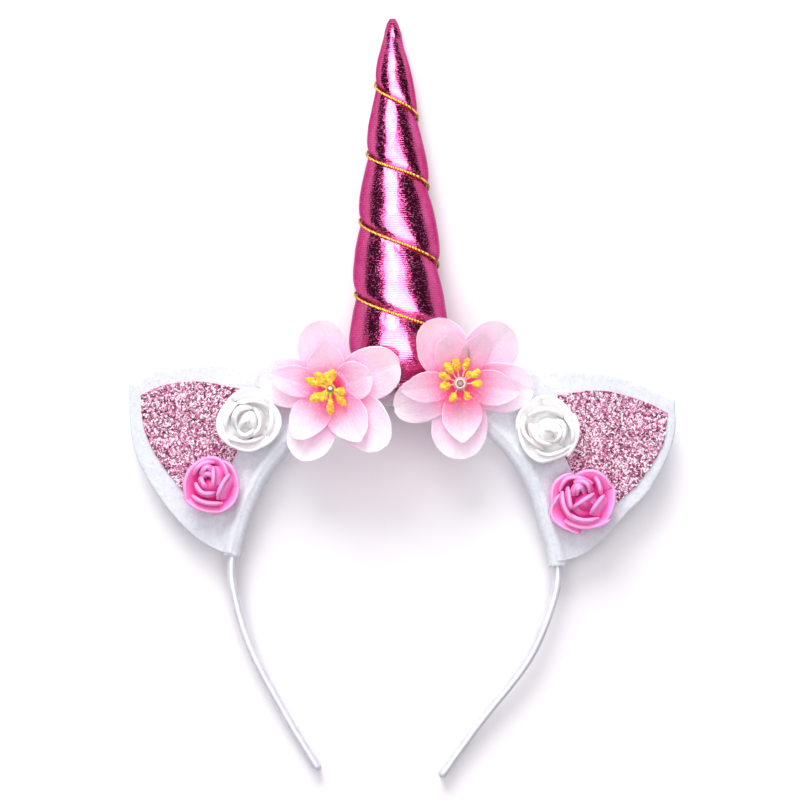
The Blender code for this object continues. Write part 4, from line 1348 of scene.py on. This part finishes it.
def layer_height(flower, x, y, inner):
    """Middle of a layer's cloth above the felt."""
    low = petal_height(flower, x, y, OUTER_CUP)
    rise = cloth_rise(flower, x, y, OUTER_CUP)
    if not inner:
        return low + rise / 2
    radius = math.hypot(x, y)
    under = low + rise + 2 * GAP + INNER_CUP * (radius / FLOWER_RADIUS) ** 2
    deep = 1.0 - soft_step(THROAT_FOOT, THROAT_RADIUS, radius)
    under += 0.5 * deep * (FLOWER_LIFT + flower["lean_out"] * x + flower["lean_up"] * y)
    return under + cloth_rise(flower, x, y, OUTER_CUP + INNER_CUP) / 2


def place_on_felt(flower, x, y, height):
    middle = off_band(flower["fold"], flower["out"])
    up = middle.y + y
    return Vector((middle.x + x, up, plane_height(up) + EAR_PANEL / 2 + height))


def petal_width(share, point):
    """Half width along a petal, as a share of its widest."""
    if share > PETAL_WIDEST:
        past = (share - PETAL_WIDEST) / 0.42
        return max(1.0 - past ** (2.3 - 0.5 * point), 0.0) ** (0.5 + 0.4 * point)
    return 0.10 + 0.90 * (1.0 - ((PETAL_WIDEST - share) / PETAL_WIDEST) ** 2.2) ** 1.1


def cloth_petal(flower, row, inner, number, climb=34, wide=22):
    """One petal of thin cloth, cupped across, curled at its tip and rippled at its rim."""
    direction, length, width, curl, point = row
    along = spoke(math.radians(direction))
    beside = Vector((-along.y, along.x))
    long = length * FLOWER_RADIUS
    seed = number * 3.1 + (20.0 if inner else 0.0) + flower["fold"]
    first = PETAL_ROOT / long
    rows = []
    marks = []
    for step in range(climb + 1):
        share = step / climb
        spread = 1.0 - (1.0 - share) ** 1.35
        reach = first + (1.0 - first) * spread
        half = max(petal_width(reach, point) * width * long, 0.00012)
        over = []
        under = []
        for place in range(wide + 1):
            side = 2 * place / wide - 1
            side = math.copysign(abs(side) ** 0.9, side)
            ruffle = RUFFLE * uneven((reach * 0.02, side * 0.012, 0.0), 0.006, seed) * reach
            pulled = TIP_PULLED * long * reach * side * side * (1 - reach)
            flat = along * (reach * long - pulled) + beside * side * half
            flat += beside * ruffle + along * ruffle * 0.6
            if reach > 0.4:
                flat += (along + beside * side) * RAGGED * uneven((flat.x, flat.y, 0.0), 0.0011, seed)
            rim = max(abs(side), soft_step(0.6, 1.0, reach)) * soft_step(0.2, 0.7, reach)
            height = layer_height(flower, flat.x, flat.y, inner)
            height += RIM_CUP * side * side * soft_step(0.1, 0.6, reach)
            height += SIDE_TILT * side * soft_step(0.1, 0.5, reach)
            height += curl * TIP_CURL * soft_step(0.55, 1.0, reach)
            height += RIM_RIPPLE * uneven((flat.x, flat.y, 0.0), 0.0065, seed) * rim
            height -= MIDRIB_DEEP * math.exp(-(side / 0.13) ** 2) * soft_step(0.15, 0.5, reach)
            over.append(place_on_felt(flower, flat.x, flat.y, height + CLOTH / 2))
            under.append(place_on_felt(flower, flat.x, flat.y, height - CLOTH / 2))
            marks.append((side, reach))
        marks += list(reversed(marks[-wide - 1:]))
        rows.append(over + under[::-1])
    return *closed_skin(rows), marks


def throat_cup(flower):
    """The gathered cloth at the bottom of the funnel, closed under the stem."""
    reaches = (0.0003, 0.0016, 0.0030, 0.0042, 0.0054, 0.0066)
    over = [(reach, 0.0) for reach in reaches]
    under = [(reach, CLOTH) for reach in reversed(reaches)]

    def spot(row, angle):
        x, y = row[0] * math.cos(angle), row[0] * math.sin(angle)
        return place_on_felt(flower, x, y, layer_height(flower, x, y, True) - CUP_DROP - row[1])

    return turned(over + under, 30, spot, lambda row, round_share: (0.0, 0.02))


def lathe(flower, profile, sides=36):
    """A turned shape at the flower's middle: radius and height above the felt."""
    def spot(row, angle):
        return place_on_felt(flower, row[0] * math.cos(angle), row[0] * math.sin(angle), row[1])

    return turned(profile, sides, spot, lambda row, round_share: (round_share, row[1]))


def rod(foot, head, stops, seed, rough, sides):
    """A lumpy stalk between two points: stops are distance shares and radii."""
    along = (head - foot).normalized()
    out = along.cross(Vector((0.0, 0.0, 1.0))).normalized()
    up = out.cross(along)

    def spot(row, angle):
        share, radius = row
        offset = out * math.cos(angle) + up * math.sin(angle)
        point = foot + (head - foot) * share + offset * radius
        return point + offset * rough * radius * uneven(point, 0.0008, seed)

    return turned(stops, sides, spot, lambda row, round_share: (round_share, row[0]))


def throat_top(flower):
    """Height above the felt at which the stalks leave the throat."""
    spot = 0.85 * THROAT_RADIUS
    circle = [math.pi * step / 12 for step in range(24)]
    rim = [layer_height(flower, spot * math.cos(angle), spot * math.sin(angle), True) for angle in circle]
    return max(rim) + SOLID_PETAL


def make_stamens(flower):
    """Stalks round the stem, each with a head of pollen grains."""
    name, hollow = flower["name"], flower["hollow"]
    low = throat_top(flower)
    start = flower["stem"] + 0.0002
    neck, slim = (0.46, 0.00036) if hollow else (0.30, 0.00062)
    heads = []
    stalks = []
    for number, (direction, reach, size) in enumerate(flower["stamens"]):
        angle = math.radians(direction)
        x, y = (reach * FLOWER_RADIUS * turn for turn in (math.cos(angle), math.sin(angle)))
        swell = size * HEAD_RADIUS * 1.12
        height = max(layer_height(flower, x, y, True) + SOLID_PETAL / 2 + swell + 0.0007, low + GAP)
        head = place_on_felt(flower, x, y, height)
        foot = place_on_felt(flower, start * math.cos(angle), start * math.sin(angle), low + 0.0004)
        long = (head - foot).length
        stalks.append(rod(foot, head, [(step / 6 * 0.9, slim) for step in range(7)], number, 0.2, 8))
        stops = []
        for step in range(13):
            part = step / 12
            bulb = math.sin(math.pi * min(0.04 + 0.92 * part, 1.0)) ** 0.55
            stops.append((neck + (1.0 + swell / long - neck) * part, swell * (bulb * (0.72 + 0.28 * part))))
        heads.append(rod(foot, head, stops, number * 2.0, 0.8, 16))
    bead = ((0.0002, 0.0), (start + 0.0001, 0.0), (start + 0.0004, 0.0004), (start + 0.0001, 0.0009),
            (start - 0.0003, 0.0010), (0.0002, 0.0010))
    stalks.append(lathe(flower, [(radius, low + height) for radius, height in bead], 24))
    bed = join_shapes("pollen_bed", heads, POLLEN)
    recipe = Recipe("pollen_grains", ("Density", "Grain", "Seed"))
    values = {"Radius": recipe.given("Grain"), "Subdivisions": 1}
    grain = recipe.node("GeometryNodeMeshIcoSphere", None, values)
    grains = recipe.strew(grain, recipe.chance(0.6, 1.4, 3))
    both = recipe.node("GeometryNodeJoinGeometry", None, {0: [recipe.given(), grains]})
    piece = recipe.make(name + "_pollen", bed, both, POLLEN,
                        Density=GRAINS_PER_SQUARE_METRE, Grain=GRAIN_RADIUS, Seed=4.0)
    fit(piece, name + "_stamens")
    fit(join_shapes(name + "_stalks", stalks, STALK if hollow else POLLEN))


def make_stem(flower):
    """The stem's end in the middle: a hollow tube with painted shade in its hole, or a solid one with a pale
    nib.
    """
    name, radius, hollow = flower["name"], flower["stem"], flower["hollow"]
    top = throat_top(flower) + BEAD_TALL + STEM_ABOVE_BEAD
    if hollow:
        profile = ((0.0002, 0.0004), (radius, 0.0004), (radius, top - 0.0006),
                   (radius - 0.0002, top - 0.0002), (radius - 0.0006, top), (radius - 0.0009, top - 0.0002),
                   (radius - 0.0010, top - 0.0007), (radius - 0.0010, top - 0.0032), (0.0002, top - 0.0034))
        # Painted shade: the inside of the hollow stem is painted near-black brown with no shine, for the
        # shade in its hole
        inside = make_stem_paint("stem_hole", (0.10, 0.07, 0.04), (0.05, 0.03, 0.02), mirror=0.0)
        wide, deep = radius - 0.0009, 0.0038
    else:
        profile = ((0.0002, 0.0004), (radius, 0.0004), (radius, top - 0.0014), (radius * 0.9, top - 0.0009),
                   (radius * 0.6, top - 0.0006), (radius * 0.42, top - 0.0003), (radius * 0.34, top),
                   (radius * 0.12, top + 0.0001))
        inside = make_stem_paint("nib_white", (0.88, 0.84, 0.80), (0.70, 0.62, 0.58))
        wide, deep = 2 * radius, 0.0005
    stem = join_shapes(name + "_stem", [lathe(flower, profile)], STEM[name])
    stem.data.materials.append(inside)
    middle = place_on_felt(flower, 0.0, 0.0, top) + CROWN
    # Faces in the hole get the painted shade paint; on the solid stem, faces at its tip get the nib's paint
    for face in stem.data.polygons:
        aside = (face.center - middle).to_2d().length
        face.material_index = int(aside < wide and face.center.z > middle.z - deep)
    fit(stem, name + "_centre")


def make_petals(flower, layer, material):
    """One layer of five petals, the inner one with the gathered cloth of the throat."""
    inner = layer == "inner"
    shapes = [cloth_petal(flower, row, inner, number) for number, row in enumerate(flower[layer])]
    if inner:
        shapes.append(throat_cup(flower))
    piece = join_shapes("%s_%s_cloth" % (flower["name"], layer), shapes, material)
    fit(piece, "%s_%s_petals" % (flower["name"], layer))


for flower in FLOWERS:
    make_petals(flower, "outer", PETAL_PALE)
    make_petals(flower, "inner", PETAL_PINK)
    make_stamens(flower)
    make_stem(flower)
